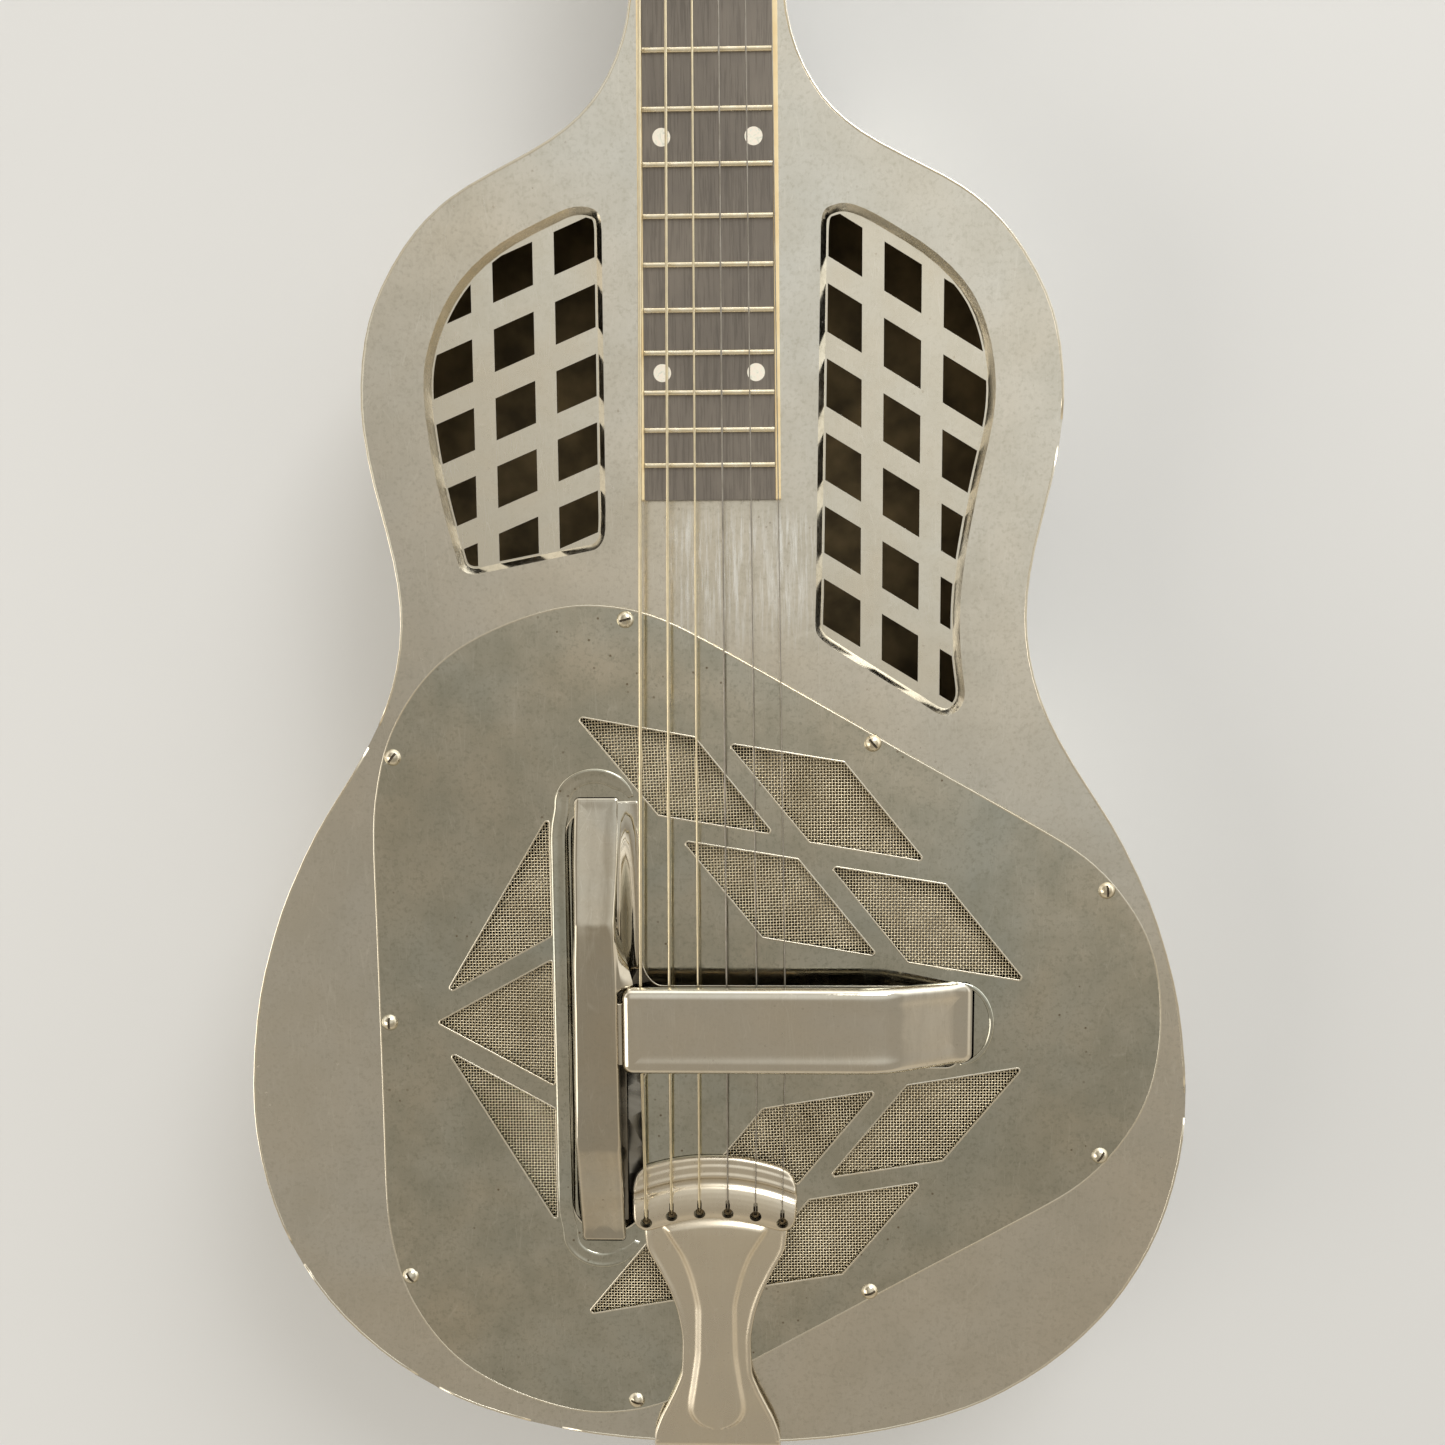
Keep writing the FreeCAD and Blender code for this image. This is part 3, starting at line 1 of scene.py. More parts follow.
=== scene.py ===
import bpy
import bmesh
import json
import math
import numpy as np
from mathutils import Matrix, Vector


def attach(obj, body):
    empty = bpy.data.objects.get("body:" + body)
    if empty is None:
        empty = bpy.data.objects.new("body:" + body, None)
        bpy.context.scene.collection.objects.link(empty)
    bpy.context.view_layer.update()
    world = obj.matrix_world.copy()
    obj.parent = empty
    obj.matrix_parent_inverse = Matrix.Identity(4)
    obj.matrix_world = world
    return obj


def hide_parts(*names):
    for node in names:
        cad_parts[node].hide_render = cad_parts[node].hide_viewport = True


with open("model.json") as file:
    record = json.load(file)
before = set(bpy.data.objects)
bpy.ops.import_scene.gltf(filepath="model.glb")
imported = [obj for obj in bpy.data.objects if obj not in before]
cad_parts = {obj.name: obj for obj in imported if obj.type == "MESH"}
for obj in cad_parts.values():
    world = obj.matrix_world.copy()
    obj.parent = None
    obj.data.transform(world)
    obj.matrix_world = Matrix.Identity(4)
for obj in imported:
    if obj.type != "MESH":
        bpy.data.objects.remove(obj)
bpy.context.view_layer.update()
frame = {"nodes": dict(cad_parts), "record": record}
NODES = frame["nodes"]
MM = 0.001
ROOT = "guitar"

# --------------------------------------------------------------------------------------------------------
# materials
# --------------------------------------------------------------------------------------------------------


class Nodes:
    """Small helper that makes shader nodes and links them."""

    def __init__(self, name):
        self.mat = bpy.data.materials.new(name)
        self.mat.use_nodes = True
        self.t = self.mat.node_tree
        self.t.nodes.clear()
        self.out = self.t.nodes.new("ShaderNodeOutputMaterial")
        self.bsdf = self.t.nodes.new("ShaderNodeBsdfPrincipled")
        self.t.links.new(self.bsdf.outputs[0], self.out.inputs[0])
        self.coord = self.t.nodes.new("ShaderNodeTexCoord").outputs["Object"]

    def link(self, a, b):
        self.t.links.new(a, b)

    def put(self, socket, value):
        if isinstance(value, bpy.types.NodeSocket):
            self.t.links.new(value, socket)
        elif value is not None:
            socket.default_value = value

    def mapping(self, scale=(1, 1, 1), rot=(0, 0, 0), loc=(0, 0, 0), vec=None):
        n = self.t.nodes.new("ShaderNodeMapping")
        n.inputs["Scale"].default_value = scale
        n.inputs["Rotation"].default_value = rot
        n.inputs["Location"].default_value = loc
        self.link(vec or self.coord, n.inputs["Vector"])
        return n.outputs[0]

    def noise(self, scale, detail=4.0, rough=0.55, vec=None, distortion=0.0, color=False):
        n = self.t.nodes.new("ShaderNodeTexNoise")
        n.inputs["Scale"].default_value = scale
        n.inputs["Detail"].default_value = detail
        n.inputs["Roughness"].default_value = rough
        n.inputs["Distortion"].default_value = distortion
        self.link(vec or self.coord, n.inputs["Vector"])
        return n.outputs["Color" if color else "Fac"]

    def voronoi(self, scale, vec=None, feature="F1", out="Distance", randomness=1.0):
        n = self.t.nodes.new("ShaderNodeTexVoronoi")
        n.feature = feature
        n.inputs["Scale"].default_value = scale
        n.inputs["Randomness"].default_value = randomness
        self.link(vec or self.coord, n.inputs["Vector"])
        return n.outputs[out]

    def wave(self, scale, distortion=0.0, detail=2.0, vec=None, axis="X", profile="SIN"):
        n = self.t.nodes.new("ShaderNodeTexWave")
        n.bands_direction = axis
        n.wave_profile = profile
        n.inputs["Scale"].default_value = scale
        n.inputs["Distortion"].default_value = distortion
        n.inputs["Detail"].default_value = detail
        self.link(vec or self.coord, n.inputs["Vector"])
        return n.outputs["Fac"]

    def ramp(self, fac, stops, interp="LINEAR"):
        n = self.t.nodes.new("ShaderNodeValToRGB")
        n.color_ramp.interpolation = interp
        e = n.color_ramp.elements
        while len(e) < len(stops):
            e.new(0.5)
        for el, (pos, col) in zip(e, stops):
            el.position = pos
            el.color = (col, col, col, 1) if isinstance(col, (int, float)) else (*col, 1)
        self.link(fac, n.inputs[0])
        return n.outputs[0]

    def range(self, val, a, b, c, d, clamp=True):
        n = self.t.nodes.new("ShaderNodeMapRange")
        n.clamp = clamp
        for i, v in zip((1, 2, 3, 4), (a, b, c, d)):
            n.inputs[i].default_value = v
        self.link(val, n.inputs[0])
        return n.outputs[0]

    def math(self, op, a, b=None, clamp=False):
        n = self.t.nodes.new("ShaderNodeMath")
        n.operation = op
        n.use_clamp = clamp
        self.put(n.inputs[0], a)
        if b is not None:
            self.put(n.inputs[1], b)
        return n.outputs[0]

    def mix(self, fac, a, b, mode="MIX"):
        n = self.t.nodes.new("ShaderNodeMix")
        n.data_type = "RGBA"
        n.blend_type = mode
        self.put(n.inputs[0], fac)
        self.put(n.inputs[6], (*a, 1) if isinstance(a, tuple) else a)
        self.put(n.inputs[7], (*b, 1) if isinstance(b, tuple) else b)
        return n.outputs[2]

    def bump(self, height, strength, distance=0.001, normal=None):
        n = self.t.nodes.new("ShaderNodeBump")
        n.inputs["Strength"].default_value = strength
        n.inputs["Distance"].default_value = distance
        self.link(height, n.inputs["Height"])
        if normal is not None:
            self.link(normal, n.inputs["Normal"])
        return n.outputs[0]

    def sep(self, vec=None):
        n = self.t.nodes.new("ShaderNodeSeparateXYZ")
        self.link(vec or self.coord, n.inputs[0])
        return n.outputs

    def set(self, **kw):
        names = {"color": "Base Color", "rough": "Roughness", "metal": "Metallic", "normal": "Normal", "spec": "Specular IOR Level",
                 "coat": "Coat Weight", "coat_rough": "Coat Roughness", "aniso": "Anisotropic", "sss": "Subsurface Weight", "ior": "IOR"}
        for k, v in kw.items():
            s = self.bsdf.inputs[names[k]]
            if k == "color" and isinstance(v, tuple):
                s.default_value = (*v, 1)
            else:
                self.put(s, v)
        return self.mat


def scratches(n, scale, width, angle, seed, length=22.0):
    """Sparse thin straight scratches: 1 on a scratch, 0 elsewhere."""
    v = n.mapping(scale=(scale, scale / length, scale), rot=(0, 0, angle), loc=(seed, seed * 0.37, 0))
    wob = n.noise(3.0, 1.0, 0.5, vec=v)
    d = n.voronoi(1.0, vec=v, feature="DISTANCE_TO_EDGE")
    line = n.range(d, 0.0, width, 1.0, 0.0)
    gate = n.ramp(n.noise(0.9, 2.0, 0.5, vec=n.mapping(scale=(scale * 0.35,) * 3, loc=(seed * 2.1, 3.3, 0))), [(0.48, 0.0), (0.62, 1.0)])
    return n.math("MULTIPLY", n.math("MULTIPLY", line, gate), n.range(wob, 0.35, 0.6, 0.2, 1.0))


def nickel(name, base, warm, rough=(0.16, 0.34), blotch=14.0, tarnish=0.35, dull=0.25, scratch=0.6, dent=0.0, spots=0.3, wave=0.0, rub=False):
    """Old nickel plate: soft colour shift between grey and straw, hazy patches, rub marks, scratches and small pits."""
    n = Nodes(name)
    big = n.noise(blotch, 4.0, 0.55, distortion=0.4)
    mid = n.noise(blotch * 4.3, 5.0, 0.6)
    fine = n.noise(620.0, 4.0, 0.7)
    s = n.math("ADD", scratches(n, 210, 0.020, 0.55, 3.1, 9.0), scratches(n, 260, 0.022, -0.75, 7.7, 8.0), clamp=True)
    s = n.math("ADD", s, scratches(n, 180, 0.018, 1.35, 12.4, 11.0), clamp=True)
    s = n.math("ADD", s, scratches(n, 240, 0.018, 2.35, 21.9, 9.0), clamp=True)
    s = n.math("MULTIPLY", s, scratch)
    pit = n.ramp(n.voronoi(210.0), [(0.0, 1.0), (0.075, 1.0), (0.12, 0.0)])
    pit = n.math("MULTIPLY", pit, n.ramp(n.noise(24.0, 2.0, 0.5), [(0.52, 0.0), (0.60, 1.0)]))
    col = n.mix(n.ramp(big, [(0.30, 0.0), (0.70, 1.0)]), base, warm)
    col = n.mix(n.math("MULTIPLY", n.ramp(mid, [(0.40, 0.0), (0.80, 1.0)]), tarnish), col, (base[0] * 0.66, base[1] * 0.64, base[2] * 0.56))
    col = n.mix(n.math("MULTIPLY", n.ramp(fine, [(0.50, 0.0), (0.72, 1.0)]), tarnish * 0.8), col, (base[0] * 0.55, base[1] * 0.53, base[2] * 0.45))
    col = n.mix(n.math("MULTIPLY", pit, spots), col, (0.16, 0.12, 0.075))
    col = n.mix(n.math("MULTIPLY", s, 0.6), col, (0.88, 0.86, 0.80))
    r = n.range(big, 0.3, 0.72, rough[0], rough[1])
    r = n.math("ADD", r, n.range(mid, 0.35, 0.75, -0.05, dull * 0.5))
    r = n.math("ADD", r, n.range(fine, 0.3, 0.75, -0.04, 0.06))
    r = n.math("ADD", r, n.math("MULTIPLY", s, 0.2))
    r = n.math("ADD", r, n.math("MULTIPLY", pit, 0.25), clamp=True)
    if rub:
        # worn by the player's hand between the fretboard and the cover: fine streaks along the strings
        xyz = n.sep()
        across = n.range(n.math("ABSOLUTE", n.math("SUBTRACT", xyz[0], 0.012)), 0.020, 0.034, 1.0, 0.0)
        along = n.math("MULTIPLY", n.range(xyz[1], 0.140, 0.165, 0.0, 1.0), n.range(xyz[1], 0.188, 0.199, 1.0, 0.0))
        streak = n.ramp(n.noise(1.0, 4.0, 0.7, vec=n.mapping(scale=(620, 42, 10), rot=(0, 0, 0.05))), [(0.47, 0.0), (0.66, 1.0)])
        streak = n.math("MULTIPLY", n.math("MULTIPLY", across, along), streak)
        col = n.mix(n.math("MULTIPLY", streak, 0.75), col, (0.97, 0.98, 0.97))
        r = n.math("ADD", r, n.math("MULTIPLY", streak, 0.14), clamp=True)
    h = n.math("SUBTRACT", n.math("MULTIPLY", fine, 0.5), n.math("MULTIPLY", s, 0.5))
    nor = n.bump(h, 0.07, 0.00008)
    if dent:
        nor = n.bump(n.noise(30.0, 2.0, 0.45), dent, 0.0010, nor)
        nor = n.bump(n.noise(9.0, 1.0, 0.4), dent, 0.004, nor)
    if wave:
        nor = n.bump(n.noise(1.0, 2.0, 0.5, vec=n.mapping(scale=(160, 38, 60))), wave, 0.0012, nor)
    return n.set(color=col, rough=r, metal=1.0, normal=nor)


M = {}
M["nickel_body"] = nickel("nickel_body", (0.655, 0.65, 0.61), (0.69, 0.64, 0.55), rough=(0.10, 0.19), blotch=9.0, tarnish=0.42, dull=0.14, dent=0.12, scratch=0.35, rub=True)
M["nickel_back"] = nickel("nickel_back", (0.655, 0.65, 0.61), (0.69, 0.64, 0.55), rough=(0.13, 0.22), blotch=9.0, tarnish=0.30, dull=0.14, dent=0.08, scratch=0.35)
M["cover_nickel"] = nickel("cover_nickel", (0.475, 0.492, 0.450), (0.57, 0.525, 0.43), rough=(0.07, 0.14), blotch=13.0, tarnish=0.62, dull=0.14, dent=0.20, spots=0.8, scratch=0.25)
M["polished_nickel"] = nickel("polished_nickel", (0.62, 0.60, 0.545), (0.64, 0.59, 0.50), rough=(0.07, 0.13), blotch=22.0, tarnish=0.16, dull=0.10, scratch=0.25, dent=0.10, wave=0.05)
# The bar's nickel is a darker copy of the stem's polished nickel: painted shade for the darker sky that the bar
# mirrors.
M["bar_nickel_painted_shade"] = nickel("bar_nickel_painted_shade", (0.48, 0.46, 0.405), (0.50, 0.445, 0.355), rough=(0.06, 0.12), blotch=22.0, tarnish=0.18, dull=0.10, scratch=0.25, dent=0.22, wave=0.22)
M["satin_nickel"] = nickel("satin_nickel", (0.655, 0.605, 0.52), (0.67, 0.605, 0.49), rough=(0.27, 0.35), blotch=20.0, tarnish=0.16, dull=0.10, scratch=0.2)
# The rim nickel is a lighter copy of the plate nickel: painted highlight along the plate edges.
M["rim_nickel_painted_highlight"] = nickel("rim_nickel_painted_highlight", (0.76, 0.73, 0.65), (0.76, 0.69, 0.56), rough=(0.12, 0.22), blotch=30.0, tarnish=0.25, dull=0.12, scratch=0.1)
M["screw_nickel"] = nickel("screw_nickel", (0.62, 0.59, 0.50), (0.66, 0.58, 0.44), rough=(0.14, 0.24), blotch=120.0, tarnish=0.4, dull=0.2, scratch=0.3)
M["soundwell_metal"] = nickel("soundwell_metal", (0.30, 0.27, 0.21), (0.36, 0.31, 0.22), rough=(0.5, 0.7), blotch=30.0, tarnish=0.7, dull=0.4, scratch=0.1)
M["grille_nickel"] = nickel("grille_nickel", (0.70, 0.68, 0.61), (0.69, 0.64, 0.54), rough=(0.18, 0.28), blotch=30.0, tarnish=0.2, dull=0.12, scratch=0.4)
M["tuner_metal"] = nickel("tuner_metal", (0.62, 0.60, 0.54), (0.64, 0.57, 0.44), rough=(0.2, 0.36), blotch=90.0, tarnish=0.35, dull=0.2, scratch=0.5)



def tarnish_and_shade_above(mat, z, color, rough):
    """The inner face of a sheet, above height z, is bare and tarnished; its very dark brown is also painted shade for
    the inside of the closed body.
    """
    t = mat.node_tree
    bs = next(q for q in t.nodes if q.type == "BSDF_PRINCIPLED")
    co = t.nodes.new("ShaderNodeTexCoord")
    sp = t.nodes.new("ShaderNodeSeparateXYZ")
    t.links.new(co.outputs["Object"], sp.inputs[0])
    gt = t.nodes.new("ShaderNodeMath")
    gt.operation = "GREATER_THAN"
    gt.inputs[1].default_value = z
    t.links.new(sp.outputs[2], gt.inputs[0])
    nz = t.nodes.new("ShaderNodeTexNoise")
    nz.inputs["Scale"].default_value = 55.0
    nz.inputs["Detail"].default_value = 6.0
    t.links.new(co.outputs["Object"], nz.inputs["Vector"])
    rp = t.nodes.new("ShaderNodeValToRGB")
    rp.color_ramp.elements[0].position = 0.35
    rp.color_ramp.elements[0].color = (*color, 1)
    rp.color_ramp.elements[1].position = 0.72
    rp.color_ramp.elements[1].color = (color[0] * 2.6, color[1] * 2.5, color[2] * 2.3, 1)
    t.links.new(nz.outputs["Fac"], rp.inputs[0])
    for sock, val in (("Base Color", rp.outputs[0]), ("Roughness", rough)):
        s_ = bs.inputs[sock]
        old = s_.links[0].from_socket
        m = t.nodes.new("ShaderNodeMix")
        m.data_type = "RGBA"
        t.links.new(gt.outputs[0], m.inputs[0])
        t.links.new(old, m.inputs[6])
        if isinstance(val, float):
            m.inputs[7].default_value = (val, val, val, 1)
        else:
            t.links.new(val, m.inputs[7])
        t.links.new(m.outputs[2], s_)


# The back plate's inner face: bare tarnish plus painted shade inside the body.
tarnish_and_shade_above(M["nickel_back"], 0.00086, (0.145, 0.113, 0.066), 0.55)

n = Nodes("spun_aluminium")
xyz = n.sep()
rub = n.noise(1.0, 3.0, 0.6, vec=n.mapping(scale=(40, 40, 900)))
# The cones are painted far darker than spun aluminium: painted shade under the screens and inside the body.
cone_painted_shade = n.mix(n.ramp(n.noise(35, 4, 0.6), [(0.35, 0.0), (0.7, 1.0)]), (0.27, 0.255, 0.225), (0.12, 0.105, 0.08))

M["spun_aluminium"] = n.set(color=cone_painted_shade,
                            rough=n.range(rub, 0.3, 0.7, 0.16, 0.32), metal=1.0,
                            normal=n.bump(n.voronoi(95.0, feature="F1"), 0.5, 0.0016, n.bump(rub, 0.2, 0.0004)))

n = Nodes("screen_wire")
M["screen_wire"] = n.set(color=n.mix(n.ramp(n.noise(60, 4, 0.6), [(0.35, 0.0), (0.7, 1.0)]), (0.92, 0.84, 0.66), (0.70, 0.62, 0.46)),
                         rough=n.range(n.noise(900, 3, 0.6), 0.3, 0.7, 0.25, 0.42), metal=1.0)

n = Nodes("ebonised_board")
grain = n.noise(1.0, 7.0, 0.66, vec=n.mapping(scale=(420, 16, 300)))
pores = n.ramp(n.noise(1.0, 3.0, 0.6, vec=n.mapping(scale=(1500, 60, 900))), [(0.42, 1.0), (0.50, 0.0)])
worn = n.ramp(n.noise(26.0, 4.0, 0.6), [(0.40, 0.0), (0.75, 1.0)])
col = n.mix(n.ramp(grain, [(0.3, 0.0), (0.75, 1.0)]), (0.120, 0.106, 0.093), (0.165, 0.146, 0.127))
col = n.mix(n.math("MULTIPLY", worn, 0.55), col, (0.225, 0.200, 0.172))
col = n.mix(n.math("MULTIPLY", pores, 0.28), col, (0.045, 0.038, 0.031))
M["ebonised_board"] = n.set(color=col, rough=n.range(worn, 0.0, 1.0, 0.52, 0.40), spec=0.45,
                            normal=n.bump(n.math("SUBTRACT", grain, n.math("MULTIPLY", pores, 0.6)), 0.35, 0.00015))

n = Nodes("pearl")
pv = n.noise(260.0, 3.0, 0.6, distortion=2.5)
M["pearl"] = n.set(color=n.ramp(pv, [(0.30, (0.60, 0.62, 0.56)), (0.46, (0.82, 0.81, 0.72)), (0.60, (0.86, 0.78, 0.70)), (0.75, (0.70, 0.76, 0.70))]),
                   rough=0.22, spec=0.6, coat=0.5, coat_rough=0.12, normal=n.bump(pv, 0.15, 0.0002))

n = Nodes("cream_binding")
bn = n.noise(40.0, 4.0, 0.6)
M["cream_binding"] = n.set(color=n.mix(n.ramp(bn, [(0.35, 0.0), (0.7, 1.0)]), (0.72, 0.56, 0.31), (0.83, 0.74, 0.50)),
                           rough=n.range(n.noise(500, 3, 0.6), 0.3, 0.7, 0.32, 0.46), normal=n.bump(n.noise(900, 2, 0.5), 0.08, 0.0001))

n = Nodes("fret_wire")
fn = n.noise(300, 3, 0.6)
M["fret_wire"] = n.set(color=n.mix(n.ramp(fn, [(0.35, 0.0), (0.7, 1.0)]), (0.80, 0.71, 0.52), (0.86, 0.80, 0.66)),
                       rough=n.range(fn, 0.3, 0.7, 0.16, 0.30), metal=1.0, normal=n.bump(n.noise(2500, 2, 0.5), 0.1, 0.00005))

n = Nodes("bone")
M["bone"] = n.set(color=n.mix(n.ramp(n.noise(1.0, 4, 0.6, vec=n.mapping(scale=(60, 400, 400))), [(0.35, 0.0), (0.7, 1.0)]), (0.80, 0.73, 0.58), (0.70, 0.60, 0.43)),
                  rough=0.34, sss=0.0, normal=n.bump(n.noise(800, 3, 0.5), 0.1, 0.0001))

n = Nodes("maple")
mg = n.noise(1.0, 6.0, 0.62, vec=n.mapping(scale=(30, 300, 300)))
M["maple"] = n.set(color=n.mix(n.ramp(mg, [(0.3, 0.0), (0.7, 1.0)]), (0.55, 0.38, 0.20), (0.72, 0.55, 0.34)), rough=0.5, normal=n.bump(mg, 0.2, 0.0001))

n = Nodes("mahogany")
v = n.mapping(scale=(90, 7, 60), rot=(math.radians(-13), 0, 0))
mg = n.noise(1.0, 7.0, 0.62, vec=v, distortion=0.5)
band = n.wave(6.0, 3.5, 3.0, vec=n.mapping(scale=(9, 0.8, 8)), axis="X")
pore = n.ramp(n.noise(1.0, 3.0, 0.65, vec=n.mapping(scale=(1400, 46, 1400), rot=(math.radians(-13), 0, 0))), [(0.40, 1.0), (0.48, 0.0)])
col = n.mix(n.ramp(mg, [(0.3, 0.0), (0.72, 1.0)]), (0.085, 0.030, 0.014), (0.23, 0.090, 0.040))
col = n.mix(n.math("MULTIPLY", band, 0.35), col, (0.13, 0.048, 0.022))
col = n.mix(n.math("MULTIPLY", pore, 0.7), col, (0.03, 0.012, 0.006))
M["mahogany"] = n.set(color=col, rough=n.range(n.noise(60, 4, 0.6), 0.3, 0.7, 0.28, 0.42), coat=0.6, coat_rough=0.14, normal=n.bump(n.math("SUBTRACT", mg, pore), 0.14, 0.0002))

n = Nodes("gear_brass")
gn = n.noise(150, 4, 0.6)
M["gear_brass"] = n.set(color=n.mix(n.ramp(gn, [(0.35, 0.0), (0.7, 1.0)]), (0.62, 0.46, 0.22), (0.40, 0.30, 0.16)), rough=n.range(gn, 0.3, 0.7, 0.24, 0.46),
                        metal=1.0, normal=n.bump(n.noise(2200, 2, 0.5), 0.12, 0.0001))

n = Nodes("ivoroid")
iv = n.noise(1.0, 3.0, 0.5, vec=n.mapping(scale=(700, 60, 60)))
M["ivoroid"] = n.set(color=n.mix(n.ramp(iv, [(0.38, 0.0), (0.62, 1.0)]), (0.80, 0.69, 0.46), (0.70, 0.56, 0.33)), rough=0.22, coat=0.4, coat_rough=0.1,
                     normal=n.bump(n.noise(300, 2, 0.5), 0.05, 0.0002))

n = Nodes("wound_string")
wn = n.noise(220, 3, 0.6)
M["wound_string"] = n.set(color=n.mix(n.ramp(wn, [(0.35, 0.0), (0.7, 1.0)]), (0.72, 0.64, 0.45), (0.62, 0.55, 0.41)), rough=0.30, metal=1.0, normal=n.bump(n.noise(4000, 2, 0.5), 0.1, 0.00005))
# The ball ends are painted near black instead of brass: painted shade that makes the keyholes read as dark holes.
n = Nodes("ball_painted_shade")
wn = n.noise(400, 3, 0.6)
M["ball_painted_shade"] = n.set(color=n.mix(n.ramp(wn, [(0.35, 0.0), (0.7, 1.0)]), (0.16, 0.125, 0.075), (0.08, 0.062, 0.04)), rough=0.45, metal=1.0, normal=n.bump(n.noise(3000, 2, 0.5), 0.08, 0.00005))
# Near-black fill for the screw slots: painted shade in the slots.
n = Nodes("slot_painted_shade")
M["slot_painted_shade"] = n.set(color=n.mix(n.ramp(n.noise(700, 3, 0.6), [(0.35, 0.0), (0.7, 1.0)]), (0.05, 0.038, 0.024), (0.09, 0.07, 0.045)), rough=0.7, normal=n.bump(n.noise(2500, 2, 0.5), 0.1, 0.0001))
n = Nodes("plain_string")
wn = n.noise(150, 3, 0.6)
M["plain_string"] = n.set(color=n.mix(n.ramp(wn, [(0.35, 0.0), (0.7, 1.0)]), (0.34, 0.32, 0.29), (0.24, 0.22, 0.19)), rough=0.34, metal=1.0, normal=n.bump(n.noise(3000, 2, 0.5), 0.08, 0.00005))

n = Nodes("studio_floor")
M["studio_floor"] = n.set(color=n.mix(n.ramp(n.noise(3.0, 3, 0.5), [(0.3, 0.0), (0.7, 1.0)]), (0.635, 0.65, 0.675), (0.655, 0.67, 0.695)), rough=0.7)


def paint(obj, mat):
    obj.data.materials.clear()
    obj.data.materials.append(mat)


SLOT_OF = {s["node"]: s["material_slot"] for s in frame["record"]["subparts"]}
for name, obj in NODES.items():
    slot = SLOT_OF[name]
    mats = obj.data.materials
    if len(mats) == 0:
        mats.append(M[slot])
    for i in range(len(mats)):
        mats[i] = M[slot]


def soften(name, width, segments=2, angle=35.0, weld=0.00001, clamp=True):
    """Round the edges of a CAD piece with modifiers; its own mesh stays as it is."""
    o = NODES[name]
    w = o.modifiers.new("weld", "WELD")
    w.merge_threshold = weld
    b = o.modifiers.new("round_edges", "BEVEL")
    b.width = width
    b.segments = segments
    b.limit_method = "ANGLE"
    b.angle_limit = math.radians(angle)
    b.harden_normals = False
    b.use_clamp_overlap = clamp
    wn_ = o.modifiers.new("even_shading", "WEIGHTED_NORMAL")
    wn_.keep_sharp = False
    for p in o.data.polygons:
        p.use_smooth = True


# --------------------------------------------------------------------------------------------------------
# mesh helpers
# --------------------------------------------------------------------------------------------------------
def new_object(name, verts, faces, mat, smooth=True, body=ROOT):
    me = bpy.data.meshes.new(name)
    me.from_pydata([tuple(v) for v in verts], [], [tuple(f) for f in faces])
    me.validate()
    me.update()
    o = bpy.data.objects.new(name, me)
    bpy.context.scene.collection.objects.link(o)
    me.materials.append(mat)
    if smooth:
        me.polygons.foreach_set("use_smooth", [True] * len(me.polygons))
    if body:
        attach(o, body)
    return o


def tube(path, radius, sides=10, caps=True):
    """Round tube along 3-D points in metres, with parallel-transport rings."""
    P = np.array(path, float)
    T = np.gradient(P, axis=0)
    T /= np.linalg.norm(T, axis=1)[:, None]
    up = np.array([0.0, 0.0, 1.0]) if abs(T[0][2]) < 0.9 else np.array([1.0, 0.0, 0.0])
    u = np.cross(T[0], up)
    u /= np.linalg.norm(u)
    verts, faces = [], []
    R = radius if hasattr(radius, "__len__") else [radius] * len(P)
    for i, (p, t) in enumerate(zip(P, T)):
        u = u - t * np.dot(u, t)
        u /= np.linalg.norm(u)
        w = np.cross(t, u)
        for k in range(sides):
            a = 2 * math.pi * k / sides
            verts.append(p + R[i] * (math.cos(a) * u + math.sin(a) * w))
    for i in range(len(P) - 1):
        for k in range(sides):
            a, b = i * sides + k, i * sides + (k + 1) % sides
            faces.append((a, b, b + sides, a + sides))
    if caps:
        faces.append(tuple(reversed(range(sides))))
        faces.append(tuple(range((len(P) - 1) * sides, len(P) * sides)))
    return verts, faces


def join_parts(parts):
    verts, faces = [], []
    for v, f in parts:
        k = len(verts)
        verts.extend(v)
        faces.extend([tuple(i + k for i in q) for q in f])
    return verts, faces


# --------------------------------------------------------------------------------------------------------
# woven wire screens behind the cover plate
# --------------------------------------------------------------------------------------------------------
DIAMONDS = [[(-51.0, 119.2), (-6.8, 111.2), (22.9, 74.2), (-20.6, 81.6)], [(6.0, 108.8), (49.5, 101.6), (80.2, 63.8), (36.6, 71.2)],
            [(-11.5, 71.6), (32.2, 64.4), (62.5, 26.8), (18.7, 34.2)], [(44.6, 61.7), (88.1, 54.7), (118.5, 17.2), (74.2, 24.5)]]
OPENINGS = {}
for i, d in enumerate(DIAMONDS):
    OPENINGS["screen_upper_%d" % (i + 1)] = d
    OPENINGS["screen_lower_%d" % (i + 1)] = [(x, -y) for x, y in d]
OPENINGS["screen_side_1"] = [(-62.3, 81.5), (-103.6, 11.6), (-62.3, 34.6)]
OPENINGS["screen_side_2"] = [(-62.1, 25.2), (-107.4, 0.0), (-62.1, -25.2)]
OPENINGS["screen_side_3"] = [(-62.3, -81.5), (-62.3, -34.6), (-103.6, -11.6)]


